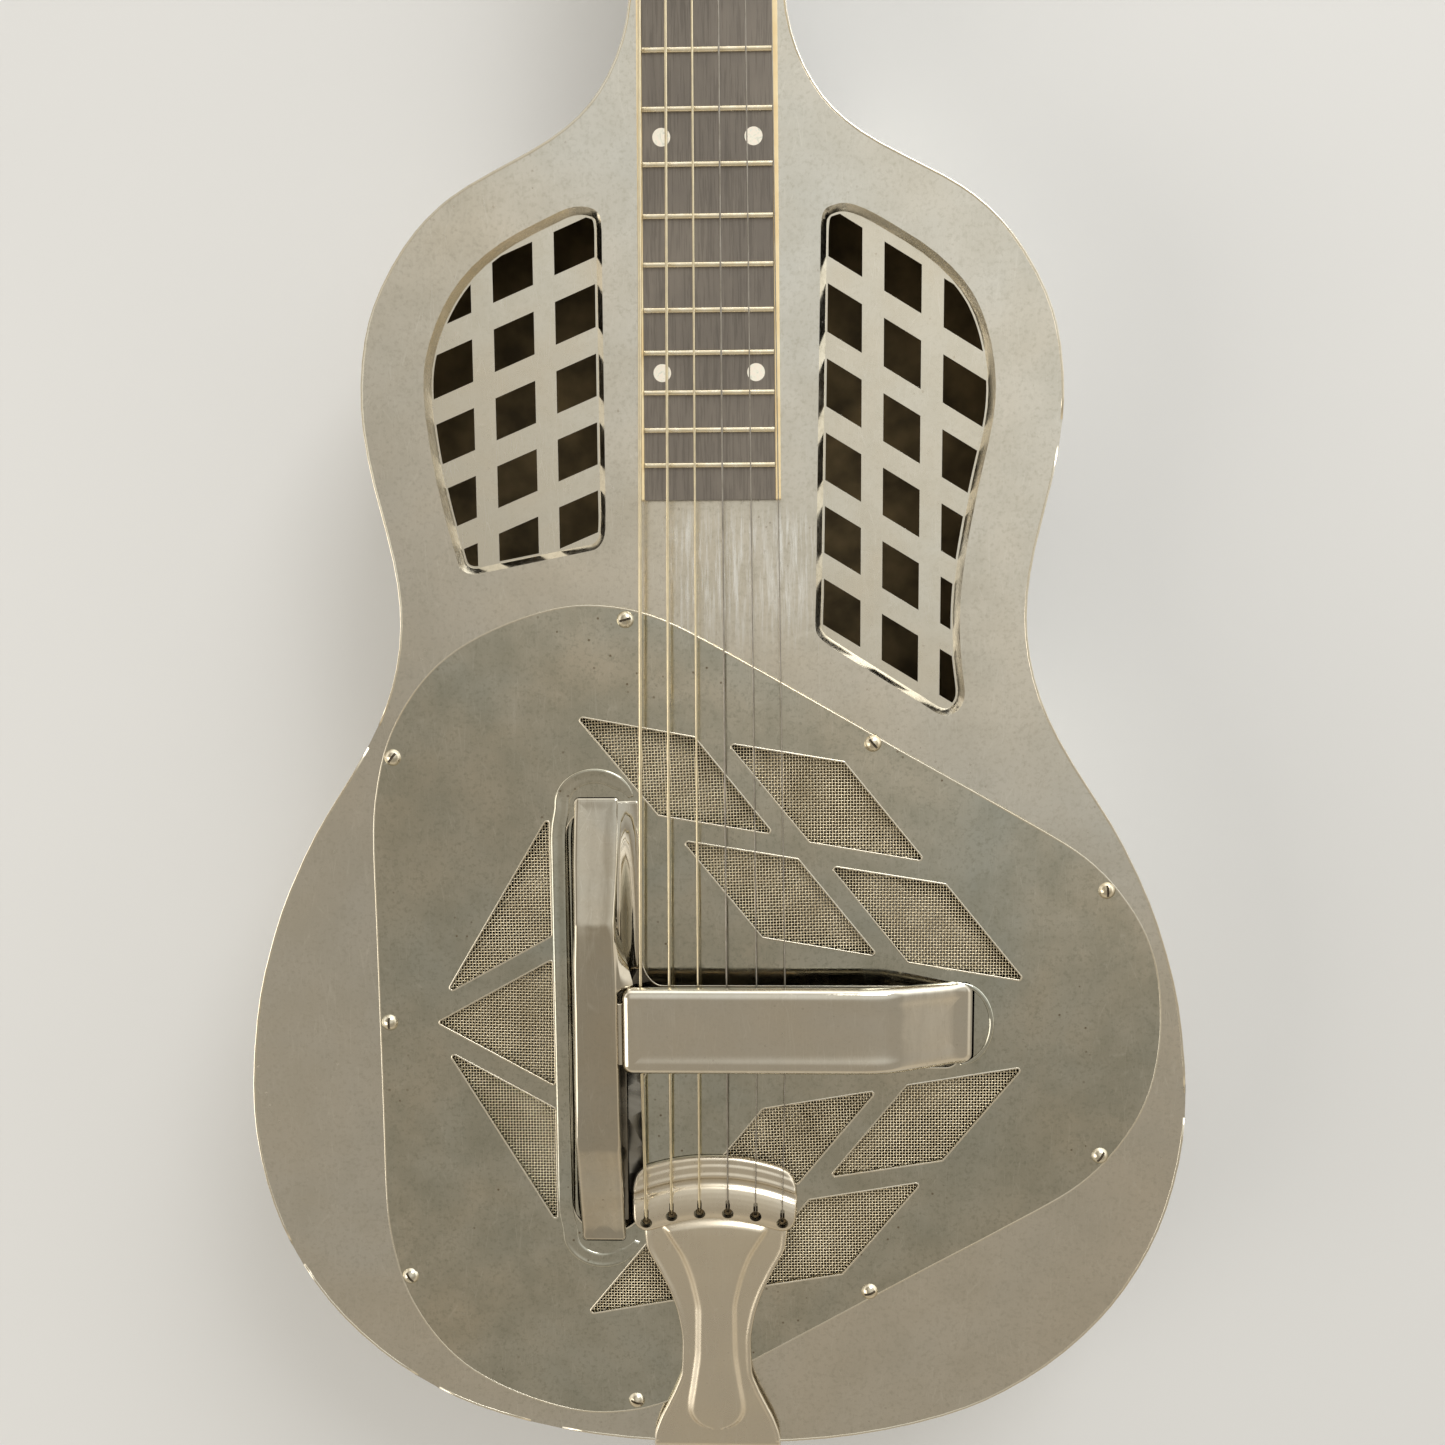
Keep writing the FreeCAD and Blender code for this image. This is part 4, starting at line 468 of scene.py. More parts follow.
def clip_line(poly, p, d, grow):
    """Where the line p + s d lies in a convex polygon grown outward by grow."""
    area = sum(poly[i - 1][0] * poly[i][1] - poly[i][0] * poly[i - 1][1] for i in range(len(poly)))
    pts = poly if area > 0 else list(reversed(poly))
    lo, hi = -1e9, 1e9
    for i in range(len(pts)):
        a, b = np.array(pts[i - 1]), np.array(pts[i])
        e = b - a
        e = e / np.linalg.norm(e)
        nrm = np.array([e[1], -e[0]])
        c = np.dot(a, nrm) + grow
        den = np.dot(d, nrm)
        num = c - np.dot(p, nrm)
        if abs(den) < 1e-9:
            if num < 0:
                return None
        elif den > 0:
            hi = min(hi, num / den)
        else:
            lo = max(lo, num / den)
    return (lo, hi) if hi - lo > 0.6 else None


def weave(name, poly, turn, pitch=1.15, wire=0.215, amp=0.25, z=77.45):
    """Plain-weave wire cloth, one tube a wire, over and under at each crossing."""
    parts = []
    c, s = math.cos(turn), math.sin(turn)
    P = np.array(poly)
    cen = P.mean(0)
    reach = max(np.linalg.norm(P - cen, axis=1)) + 4
    for family in (0, 1):
        d = np.array([c, s]) if family == 0 else np.array([-s, c])
        q = np.array([-s, c]) if family == 0 else np.array([c, s])
        base = math.floor(np.dot(cen, q) / pitch)
        for j in range(base - int(reach / pitch), base + int(reach / pitch) + 1):
            p = q * (j * pitch)
            span = clip_line(poly, p, d, 1.3)
            if span is None:
                continue
            i0, i1 = math.ceil(span[0] / (pitch / 2)), math.floor(span[1] / (pitch / 2))
            if i1 - i0 < 2:
                continue
            idx = np.arange(i0, i1 + 1)
            xy = p[None, :] + d[None, :] * (idx * pitch / 2)[:, None]
            phase = math.pi * idx / 2 + math.pi * j + (math.pi if family else 0)
            zz = z + amp * np.cos(phase)
            pts = np.column_stack([xy, zz]) * MM
            nn = len(pts)
            side = np.array([q[0], q[1], 0.0]) * wire * MM
            up = np.array([0, 0, wire * MM])
            ring = np.stack([pts + up, pts + side, pts - up, pts - side], axis=1).reshape(-1, 3)
            faces = []
            for i in range(nn - 1):
                for k in range(4):
                    a, b = i * 4 + k, i * 4 + (k + 1) % 4
                    faces.append((a, a + 4, b + 4, b))
            faces.append((0, 1, 2, 3))
            faces.append((nn * 4 - 1, nn * 4 - 2, nn * 4 - 3, nn * 4 - 4))
            parts.append((ring.tolist(), faces))
    v, f = join_parts(parts)
    o = new_object(name, v, f, M["screen_wire"])
    return o


for k, (nm, poly) in enumerate(sorted(OPENINGS.items())):
    o = weave(nm, poly, math.radians((0.0 if "side" in nm else 1.2) + 0.7 * ((k * 7) % 5 - 2)))
    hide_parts("cover_screens")

# --------------------------------------------------------------------------------------------------------
# T-shaped hand rest
# --------------------------------------------------------------------------------------------------------
Z_PLATE = 79.6


def smooth_path(pts, r=2.5, n=7):
    """Polyline with its corners rounded by quadratic curves that start r from each corner."""
    P = [np.array(p, float) for p in pts]
    out = [P[0]]
    for i in range(1, len(P) - 1):
        a, b, c = P[i - 1], P[i], P[i + 1]
        ra = min(r, np.linalg.norm(a - b) * 0.45)
        rb = min(r, np.linalg.norm(c - b) * 0.45)
        s = b + (a - b) / np.linalg.norm(a - b) * ra
        e = b + (c - b) / np.linalg.norm(c - b) * rb
        for k in range(n + 1):
            t = k / n
            out.append((1 - t) ** 2 * s + 2 * t * (1 - t) * b + t * t * e)
    out.append(P[-1])
    return np.array(out)


def rounded_box_ring(x0, x1, y0, y1, rc, d, n_x, n_y, n_c=7):
    """Plan ring of a rounded rectangle inset by d; same count of points for every inset."""
    x0, x1, y0, y1 = x0 + d, x1 - d, y0 + d, y1 - d
    rc = max(rc - d, 0.02)
    pts = []
    for t in np.linspace(0, 1, n_x):
        pts.append((x0 + rc + (x1 - x0 - 2 * rc) * t, y0))
    for a in np.linspace(-90, 0, n_c)[1:-1]:
        pts.append((x1 - rc + rc * math.cos(math.radians(a)), y0 + rc + rc * math.sin(math.radians(a))))
    for t in np.linspace(0, 1, n_y):
        pts.append((x1, y0 + rc + (y1 - y0 - 2 * rc) * t))
    for a in np.linspace(0, 90, n_c)[1:-1]:
        pts.append((x1 - rc + rc * math.cos(math.radians(a)), y1 - rc + rc * math.sin(math.radians(a))))
    for t in np.linspace(1, 0, n_x):
        pts.append((x0 + rc + (x1 - x0 - 2 * rc) * t, y1))
    for a in np.linspace(90, 180, n_c)[1:-1]:
        pts.append((x0 + rc + rc * math.cos(math.radians(a)), y1 - rc + rc * math.sin(math.radians(a))))
    for t in np.linspace(1, 0, n_y):
        pts.append((x0, y0 + rc + (y1 - y0 - 2 * rc) * t))
    for a in np.linspace(180, 270, n_c)[1:-1]:
        pts.append((x0 + rc + rc * math.cos(math.radians(a)), y0 + rc + rc * math.sin(math.radians(a))))
    return np.array(pts)


def strap_shell(x0, x1, y0, y1, rc, roll, skirt, height, gauge, n_x, n_y, along, warp=None, dish=()):
    """Pressed sheet strap with rolled rim and skirt.  height(u) is the top line along the strap, skirt(u) the wall depth."""
    rings, drops = [], []
    for d_, h_ in dish:
        rings.append(d_)
        drops.append(("r", h_))
    A = np.radians(np.linspace(90, 0, 8))
    for a in A:
        rings.append(roll * (1 - math.cos(a)))
        drops.append(("r", roll * (1 - math.sin(a))))
    rings.append(0.0)
    drops.append(("s", 1.0))
    rings.append(gauge)
    drops.append(("s", 1.0))
    for a in A[::-1]:
        rings.append(roll * (1 - math.cos(a)) + gauge * math.cos(a))
        drops.append(("r", roll * (1 - math.sin(a)) + gauge * math.sin(a)))
    for d_, h_ in reversed(dish):
        if d_ > roll + 0.4:
            rings.append(d_)
            drops.append(("r", gauge + h_))
    verts, faces = [], []
    count = None
    for d, (kind, dr) in zip(rings, drops):
        ring = rounded_box_ring(x0, x1, y0, y1, rc, d, n_x, n_y)
        count = len(ring)
        for x, y in ring:
            u = y if along else x
            drop = dr if kind == "r" else max(skirt(u), roll)
            z = height(u) - drop
            if warp:
                x, y, z = warp(x, y, z, drop, d)
            verts.append((x * MM, y * MM, max(z, Z_PLATE + 0.06) * MM))
    m = len(rings)
    for k in range(m - 1):
        for i in range(count):
            a, b = k * count + i, k * count + (i + 1) % count
            faces.append((a, a + count, b + count, b))

    def fill(base, flip):
        side = n_y if along else n_x
        per = 5
        s1 = list(range(0, n_x)) if not along else list(range(n_x + per, n_x + per + n_y))
        if not along:
            s2 = list(range(n_x + per + n_y + per + n_x - 1, n_x + per + n_y + per - 1, -1))
        else:
            k0 = 2 * n_x + 3 * per + n_y
            s2 = list(range(k0 + n_y - 1, k0 - 1, -1))
        out = []
        for i in range(side - 1):
            out.append((s1[i], s1[i + 1], s2[i + 1], s2[i]))
        seq1 = []
        j = s1[-1]
        while j != s2[-1]:
            seq1.append(j % count)
            j = (j + 1) % count
        seq1.append(s2[-1])
        out.append(tuple(seq1))
        seq2 = []
        j = s2[0]
        while j != s1[0]:
            seq2.append(j % count)
            j = (j + 1) % count
        seq2.append(s1[0])
        out.append(tuple(seq2))
        for q in out:
            q = tuple(base + i for i in q)
            faces.append(tuple(reversed(q)) if flip else q)
    fill(0, False)
    fill((m - 1) * count, True)
    return verts, faces


def interp(table):
    t = sorted(table)
    xs, ys = [p[0] for p in t], [p[1] for p in t]
    return lambda u: float(np.interp(u, xs, ys))


def lin_from(pts, r):
    P = smooth_path(pts, r, 10)
    P = P[np.argsort(P[:, 0])]
    return lambda u: float(np.interp(u, P[:, 0], P[:, 1]))


bar_top = lin_from([(-90.0, 80.15), (-85.0, 80.55), (-43.0, 95.3), (-30.0, 95.85), (30.0, 95.85), (42.0, 95.6), (85.0, 80.55), (90.0, 80.15)], 3.0)
bar_skirt = interp([(-90, 0.3), (-84, 0.4), (-60, 3.5), (-40, 5.2), (40, 5.2), (60, 3.5), (84, 0.4), (90, 0.3)])


def bar_warp(x, y, z, drop, d):
    """The right wall leans out where the stem meets the bar; the strap is waisted at the upper crease."""
    c = -44.0
    w = 1.0 - 0.10 * math.exp(-((y - 44.0) / 16.0) ** 2) - 0.04 * math.exp(-((y - 5.0) / 30.0) ** 2)
    x = c + (x - c) * w
    z += 0.45 * math.exp(-((y - 43.5) / 1.5) ** 2) * max(0.0, 1 - ((x - c) / 8.0) ** 2)
    if x > c and 18.0 < y < 47.0 and drop > 0.8:
        lean = min(max((47.0 - y) / 27.0, 0.0), 1.0)
        x += 5.6 * lean ** 1.3 * min((drop - 0.8) / 3.6, 1.0)
        z += 1.2 * lean * min((drop - 0.8) / 3.6, 1.0)
    return x, y, z


BAR_DISH = [(7.2, 0.34), (5.6, 0.31), (4.4, 0.22), (3.4, 0.10), (2.6, 0.03)]
bar = strap_shell(-52.6, -35.4, -88.5, 88.5, 1.8, 1.7, bar_skirt, bar_top, 1.0, 8, 140, True, bar_warp, BAR_DISH)
stem_top = lin_from([(-36.0, 96.0), (58.0, 96.0), (67.0, 94.9), (95.0, 81.0), (100.0, 80.3)], 5.0)
stem_skirt = interp([(-36, 3.9), (50, 3.9), (70, 3.8), (92, 1.0), (100, 0.3)])


def stem_warp(x, y, z, drop, d):
    """The stem narrows a little and shifts as it runs down to its foot."""
    k = sstep((x - 62.0) / 34.0)
    return x, STEM_C + (y - STEM_C) * (1 - 0.03 * k) - 1.1 * k, z


def sstep(t):
    t = min(max(t, 0.0), 1.0)
    return t * t * (3 - 2 * t)


STEM_C = 1.6
STEM_DISH = [(14.2, 0.42), (11.0, 0.42), (8.6, 0.40), (7.2, 0.33), (6.2, 0.20), (5.4, 0.08), (4.7, 0.02)]
stem = strap_shell(-34.6, 99.6, STEM_C - 16.7, STEM_C + 16.7, 4.0, 3.6, stem_skirt, stem_top, 1.0, 120, 14, False, stem_warp, STEM_DISH)
# the tongue that carries the stem's end under the bar
tongue_top = lambda u: 92.6
tongue = strap_shell(-50.5, -30.5, -12.0, 12.0, 1.0, 0.5, lambda u: 1.2, tongue_top, 0.9, 24, 14, False)
v, f = bar
# The bar gets the darker copy of the nickel: painted shade.
bar_piece = new_object("bridge_cover_bar", v, f, M["bar_nickel_painted_shade"])
bar_piece.modifiers.new("even_shading", "WEIGHTED_NORMAL")
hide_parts("bridge_cover")
v, f = join_parts([stem, tongue])
bridge_cover = new_object("bridge_cover_visual", v, f, M["polished_nickel"])
mod = bridge_cover.modifiers.new("even_shading", "WEIGHTED_NORMAL")
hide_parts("bridge_cover")


def ridge(path, prof, z=Z_PLATE):
    """Bead pressed up out of a flat plate: prof is a list of (offset to the left of the path, height)."""
    P = np.array(path, float)
    T = np.gradient(P, axis=0)
    T /= np.linalg.norm(T, axis=1)[:, None]
    Nn = np.column_stack([-T[:, 1], T[:, 0]])
    verts, faces = [], []
    c = len(prof)
    for i in range(len(P)):
        k = min(1.0, min(i, len(P) - 1 - i) / 6.0)
        for o, h in prof:
            q = P[i] + Nn[i] * o * (0.35 + 0.65 * k)
            verts.append((q[0] * MM, q[1] * MM, (z + (h * (0.15 + 0.85 * k) if h > 0 else (-0.03 if h == -1 else h))) * MM))
    for i in range(len(P) - 1):
        for j in range(c - 1):
            a = i * c + j
            faces.append((a, a + 1, a + c + 1, a + c))
        faces.append((i * c + c - 1, i * c, (i + 1) * c, (i + 1) * c + c - 1))
    faces.append(tuple(reversed(range(c))))
    faces.append(tuple(range((len(P) - 1) * c, len(P) * c)))
    return verts, faces


ROUND_BEAD = [(-1.0, -1), (-0.86, 0.30), (-0.5, 0.58), (0, 0.68), (0.5, 0.58), (0.86, 0.30), (1.0, -1)]
BAND_BEAD = [(-1.0, -1), (-0.86, 0.34), (-0.5, 0.62), (0, 0.70), (0.5, 0.60), (1.0, 0.42), (2.2, 0.36), (3.3, 0.38), (4.2, 0.34), (4.7, 0.15), (5.0, -0.3), (5.5, -0.72), (6.3, -0.85), (7.4, -0.9), (7.45, -1.4)]
def arc_pts(cx, cy, rx, ry, a0, a1, n=28):
    return [(cx + rx * math.cos(math.radians(a)), cy + ry * math.sin(math.radians(a))) for a in np.linspace(a0, a1, n)]


left = arc_pts(-44.6, 86.0, 14.6, 12.6, 12, 180) + [(-60.9 + 1.7 * math.exp(-((abs(y) - 86.0) / 7.0) ** 2), y) for y in np.linspace(84.5, -84.5, 90)] \
    + arc_pts(-44.6, -86.0, 14.6, 12.6, 180, 348)
right_bead = arc_pts(93.0, 0.0, 13.3, 16.2, 84, -84, 40)
wv, wf = [], []
WALL = [(-28.2, 0.12), (-29.3, 0.30), (-30.3, 0.9), (-31.6, 2.6), (-33.0, 5.4), (-34.4, 8.8), (-35.6, 10.6), (-36.2, 10.4), (-35.0, 8.2), (-33.4, 4.6), (-31.9, 1.8), (-30.6, 0.2), (-29.4, -0.3), (-28.3, -0.3)]
ROWS = list(np.linspace(87.0, 21.5, 60))
for y in ROWS:
    k = min(1.0, max(0.0, (87.6 - y) / 40.0)) ** 0.9
    for x, h in WALL:
        wv.append(((x + 0.9 * (1 - k) * (0 if x > -29.4 else -0.3)) * MM, y * MM, (Z_PLATE + h * (k if h > 0 else 1.0)) * MM))
for i in range(len(ROWS) - 1):
    for j in range(len(WALL)):
        a_, b_ = i * len(WALL) + j, i * len(WALL) + (j + 1) % len(WALL)
        wf.append((a_, a_ + len(WALL), b_ + len(WALL), b_))
wf.append(tuple(range(len(WALL))))
wf.append(tuple(reversed(range((len(ROWS) - 1) * len(WALL), len(ROWS) * len(WALL)))))
# The side wall uses the bar's darker copy of the nickel: painted shade on the wall.
wall = new_object("bridge_cover_wall", wv, wf, M["bar_nickel_painted_shade"])
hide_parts("bridge_cover")
v, f = join_parts([ridge(left, BAND_BEAD), ridge(right_bead, ROUND_BEAD)])
flange = new_object("bridge_cover_flange", v, f, M["cover_nickel"])
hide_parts("bridge_cover")

# --------------------------------------------------------------------------------------------------------
# tailpiece
# --------------------------------------------------------------------------------------------------------
HEAD_OUT = [(-27.3, -57.2), (-22.0, -55.5), (-14.0, -53.7), (-7.0, -52.9), (0.0, -52.7), (7.0, -52.9), (14.0, -53.9), (22.0, -55.9), (27.3, -57.9), (29.6, -60.2),
            (31.2, -63.6), (31.8, -67.5), (31.9, -73.5), (31.3, -78.6), (29.6, -81.8), (26.6, -83.4), (22.0, -82.6), (14.0, -80.3), (7.0, -78.9), (0.0, -78.4),
            (-7.0, -78.7), (-14.0, -80.0), (-22.0, -82.4), (-27.2, -83.6), (-30.6, -81.8), (-32.3, -78.4), (-32.7, -73.0), (-32.6, -67.0), (-31.8, -62.8), (-30.0, -59.4)]


def close_spline(pts, n=12):
    """Catmull-Rom through a closed loop of points."""
    P = np.array(pts, float)
    out = []
    for i in range(len(P)):
        a, b, c, d = P[i - 1], P[i], P[(i + 1) % len(P)], P[(i + 2) % len(P)]
        for k in range(n):
            t = k / n
            out.append(0.5 * (2 * b + (c - a) * t + (2 * a - 5 * b + 4 * c - d) * t * t + (3 * b - a - 3 * c + d) * t ** 3))
    return np.array(out)


HO = close_spline(HEAD_OUT, 8)


def seg_dist(p, poly):
    a = poly
    b = np.roll(poly, -1, axis=0)
    e = b - a
    t = np.clip(((p - a) * e).sum(1) / (e * e).sum(1), 0, 1)
    return float(np.sqrt(((a + e * t[:, None] - p) ** 2).sum(1)).min())


def span_at(x, poly):
    """Lowest and highest y of a closed loop at this x."""
    ys = []
    for i in range(len(poly)):
        (ax, ay), (bx, by) = poly[i - 1], poly[i]
        if (ax - x) * (bx - x) <= 0 and ax != bx:
            ys.append(ay + (by - ay) * (x - ax) / (bx - ax))
    return min(ys), max(ys)


PROF = [(0.0, 81.9), (1.0, 82.1), (2.9, 82.15), (3.4, 82.4), (3.8, 82.55), (6.0, 82.6), (6.5, 82.8), (7.0, 83.0), (7.6, 83.0), (8.2, 82.6), (8.9, 81.7), (9.8, 81.3), (10.9, 81.25),
        (11.5, 81.5), (12.0, 82.2), (12.6, 82.8), (14.0, 83.3), (16.0, 83.7), (18.0, 83.95), (19.6, 84.05), (21.0, 83.95), (22.4, 83.6), (24.0, 83.0), (25.6, 82.5), (40.0, 82.3)]
PT = [p[0] for p in PROF]
PZ = [p[1] for p in PROF]
XS = sorted(set([round(x, 3) for x in np.linspace(-32.55, 31.8, 150)] + [round(s * x, 3) for s in (-1, 1) for x in np.linspace(30.6, 31.75, 8)]))
TS = np.linspace(-3.0, 31.5, 96)
grid_t, grid_b = [], []
for x in XS:
    y_lo, y_hi = span_at(x, HO)
    yc = -52.7 - 4.9 * (x / 27.3) ** 2
    col_t, col_b = [], []
    fr = np.linspace(0, 1, 90)
    ease = 0.5 - 0.5 * np.cos(np.pi * fr)
    mixf = 0.55 * fr + 0.45 * ease
    for q in mixf:
        y = y_hi + (y_lo - y_hi) * q
        t = max(0.0, yc - y)
        z = float(np.interp(t, PT, PZ))
        d = seg_dist(np.array([x, y]), HO)
        k = min(d / 1.5, 1.0)
        z = 80.0 + (z - 80.0) * math.sqrt(max(0.0, 1 - (1 - k) ** 2))
        col_t.append((x, y, z))
        col_b.append((x, y, 80.0))
    grid_t.append(col_t)
    grid_b.append(col_b)
nr, nc = len(XS), 90
verts = [tuple(c * MM for c in p) for col in grid_t for p in col] + [tuple(c * MM for c in p) for col in grid_b for p in col]
faces = []
for i in range(nr - 1):
    for j in range(nc - 1):
        a = i * nc + j
        faces.append((a, a + 1, a + nc + 1, a + nc))
        b = nr * nc + a
        faces.append((b, b + nc, b + nc + 1, b + 1))
for i in range(nr - 1):
    a, b = i * nc, nr * nc + i * nc
    faces.append((a, a + nc, b + nc, b))
    a, b = i * nc + nc - 1, nr * nc + i * nc + nc - 1
    faces.append((a + nc, a, b, b + nc))
for j in range(nc - 1):
    a, b = j, nr * nc + j
    faces.append((a + 1, a, b, b + 1))
    a, b = (nr - 1) * nc + j, nr * nc + (nr - 1) * nc + j
    faces.append((a, a + 1, b + 1, b))
head = new_object("tailpiece_head", verts, faces, M["satin_nickel"], body=None)


def clean(obj, dist=0.00002):
    bm = bmesh.new()
    bm.from_mesh(obj.data)
    bmesh.ops.remove_doubles(bm, verts=bm.verts, dist=dist)
    bmesh.ops.dissolve_degenerate(bm, dist=0.000002, edges=bm.edges)
    bmesh.ops.recalc_face_normals(bm, faces=bm.faces)
    bm.to_mesh(obj.data)
    bm.free()
    obj.data.polygons.foreach_set("use_smooth", [True] * len(obj.data.polygons))


clean(head)
AT_TAIL = {6: (-27.0, -79.1), 5: (-17.1, -76.3), 4: (-6.2, -75.2), 3: (4.8, -75.1), 2: (15.6, -76.2), 1: (26.0, -78.9)}
STRING_R = {1: 0.2, 2: 0.24, 3: 0.33, 4: 0.42, 5: 0.54, 6: 0.68}
parts = []
for k, (x, y) in AT_TAIL.items():
    half = max(STRING_R[k] + 0.25, 0.85)
    # keyhole outline, round part first and the slot towards the saddle
    out = []
    a0 = math.degrees(math.asin(half / 2.3))
    for a in np.linspace(90 + a0, 450 - a0, 30):
        out.append((x + 2.3 * math.cos(math.radians(a)), y + 2.3 * math.sin(math.radians(a))))
    for a in np.linspace(0, 180, 9):
        out.append((x + half * math.cos(math.radians(a)), y + 4.9 + half * math.sin(math.radians(a))))
    m = len(out)
    vv = [(px * MM, py * MM, 79.0 * MM) for px, py in out] + [(px * MM, py * MM, 88.0 * MM) for px, py in out]
    ff = [tuple(reversed(range(m))), tuple(range(m, 2 * m))] + [(i, (i + 1) % m, m + (i + 1) % m, m + i) for i in range(m)]
    parts.append((vv, ff))
v, f = join_parts(parts)
cutter = new_object("keyholes", v, f, M["satin_nickel"], smooth=False, body=None)


def carve(obj, tool, last=True):
    """Cut the tool out of the object for good; the tool goes after its last cut."""
    b = obj.modifiers.new("cut", "BOOLEAN")
    b.operation = "DIFFERENCE"
    b.solver = "EXACT"
    b.object = tool
    dg = bpy.context.evaluated_depsgraph_get()
    me = bpy.data.meshes.new_from_object(obj.evaluated_get(dg))
    obj.modifiers.remove(b)
    old = obj.data
    obj.data = me
    bpy.data.meshes.remove(old)
    if last:
        bpy.data.objects.remove(tool)


carve(head, cutter, False)
bv = head.modifiers.new("round_edges", "BEVEL")
bv.width = 0.00025
bv.segments = 2
bv.limit_method = "ANGLE"
bv.angle_limit = math.radians(48)
head.modifiers.new("even_shading", "WEIGHTED_NORMAL")
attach(head, ROOT)
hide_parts("tailpiece")

TL = [(-27.9, -70.0), (-27.9, -82.0), (-27.4, -88.8), (-22.3, -99.9), (-17.9, -109.4), (-15.0, -119.0), (-13.6, -129.4), (-14.0, -141.5), (-16.4, -148.8), (-19.5, -155.4),
      (-23.0, -162.8), (-25.0, -169.8), (-25.4, -180.5), (-25.4, -215.0)]
ty = np.array([-p[1] for p in TL])
tx = np.array([-p[0] for p in TL])


def cat(xq, X, Y):
    """Smooth interpolation (monotone cubic) of Y over increasing X."""
    h = np.diff(X)
    dlt = np.diff(Y) / h
    mm = np.zeros(len(X))
    mm[0], mm[-1] = dlt[0], dlt[-1]
    for i in range(1, len(X) - 1):
        mm[i] = 0 if dlt[i - 1] * dlt[i] <= 0 else 2 * dlt[i - 1] * dlt[i] / (dlt[i - 1] + dlt[i])
    i = min(max(int(np.searchsorted(X, xq)) - 1, 0), len(X) - 2)
    t = (xq - X[i]) / h[i]
    return float((2 * t ** 3 - 3 * t ** 2 + 1) * Y[i] + (t ** 3 - 2 * t ** 2 + t) * h[i] * mm[i] + (-2 * t ** 3 + 3 * t ** 2) * Y[i + 1] + (t ** 3 - t ** 2) * h[i] * mm[i + 1])


EX = np.array([70.0, 83.7, 95.0, 108.0, 116.0, 132.0, 145.0, 156.0, 166.0])
EW = np.array([26.5, 18.9, 12.4, 8.4, 7.2, 7.4, 8.9, 10.5, 11.0])


S_ROWS = list(np.linspace(72.5, 171.6, 160)) + [171.6 + 4.5 * math.radians(a) for a in np.linspace(6, 90, 14)] + [171.6 + 4.5 * math.pi / 2 + q for q in np.linspace(1.2, 34.9, 34)]
C = 61
top, bot = [], []
for s in S_ROWS:
    w = cat(s, ty, tx) if s < 214 else 25.4
    e = cat(min(s, 166.0), EX, EW)
    if s > 156.0:
        q = (s - 156.0) / 9.8
        e = e * math.sqrt(max(0.0, 1 - q * q)) if q < 1 else -3.0
    row_t, row_b = [], []
    for c in range(C):
        u = math.sin((c / (C - 1) * 2 - 1) * math.pi / 2)
        u = 0.6 * (c / (C - 1) * 2 - 1) + 0.4 * u
        x = u * w
        a = abs(x)
        rise = 1.9 * sstep((e + 1.5 - a) / 3.0)
        if e > 0:
            rise += 0.35 * max(0.0, 1 - (a / max(e, 0.5)) ** 2) * sstep((166.5 - s) / 4.0)
        rise *= sstep((s - 77.6 - 4.6 * (x / 27.3) ** 2) / 3.2)
        rise -= 0.25 * (1 - sstep((s - 80.0) / 5.0))
        lip = 0.45 * sstep((a - (w - 2.6)) / 1.6) * sstep((s - 80.0) / 6.0) if s < 171 else 0.0
        edge = w - a
        roll_ = 0.75 - math.sqrt(max(0.0, 0.75 ** 2 - (0.75 - min(edge, 0.75)) ** 2))
        h = rise + lip - roll_
        if s <= 171.6:
            n_, p_ = np.array([0, 0, 1.0]), np.array([x, -s, 81.4])
        elif s <= 171.6 + 4.5 * math.pi / 2:
            ang = (s - 171.6) / 4.5
            n_ = np.array([0, -math.sin(ang), math.cos(ang)])
            p_ = np.array([x, -171.6, 76.9]) + 4.5 * n_
        else:
            n_ = np.array([0, -1.0, 0])
            p_ = np.array([x, -176.1, 76.9 - (s - 171.6 - 4.5 * math.pi / 2)])
        row_t.append(p_ + n_ * h)
        row_b.append(p_ + n_ * (h * 0.9 - 1.4 + roll_ * 1.2))
    top.append(row_t)
    bot.append(row_b)
R = len(S_ROWS)
verts = [tuple(p * MM) for row in top for p in row] + [tuple(p * MM) for row in bot for p in row]
faces = []
for i in range(R - 1):
    for j in range(C - 1):
        a = i * C + j
        faces.append((a, a + C, a + C + 1, a + 1))
        b = R * C + a
        faces.append((b, b + 1, b + C + 1, b + C))
    a, b = i * C, R * C + i * C
    faces.append((a, b, b + C, a + C))
    a, b = i * C + C - 1, R * C + i * C + C - 1
    faces.append((a, a + C, b + C, b))
for j in range(C - 1):
    a, b = j, R * C + j
    faces.append((a, a + 1, b + 1, b))
    a, b = (R - 1) * C + j, R * C + (R - 1) * C + j
    faces.append((a, b, b + 1, a + 1))
tail = new_object("tailpiece_body", verts, faces, M["satin_nickel"])
clean(tail)
carve(tail, cutter)
tail.data.polygons.foreach_set("use_smooth", [True] * len(tail.data.polygons))
bv = tail.modifiers.new("round_edges", "BEVEL")
bv.width = 0.0002
bv.segments = 1
bv.limit_method = "ANGLE"
bv.angle_limit = math.radians(60)
tail.modifiers.new("even_shading", "WEIGHTED_NORMAL")
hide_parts("tailpiece")

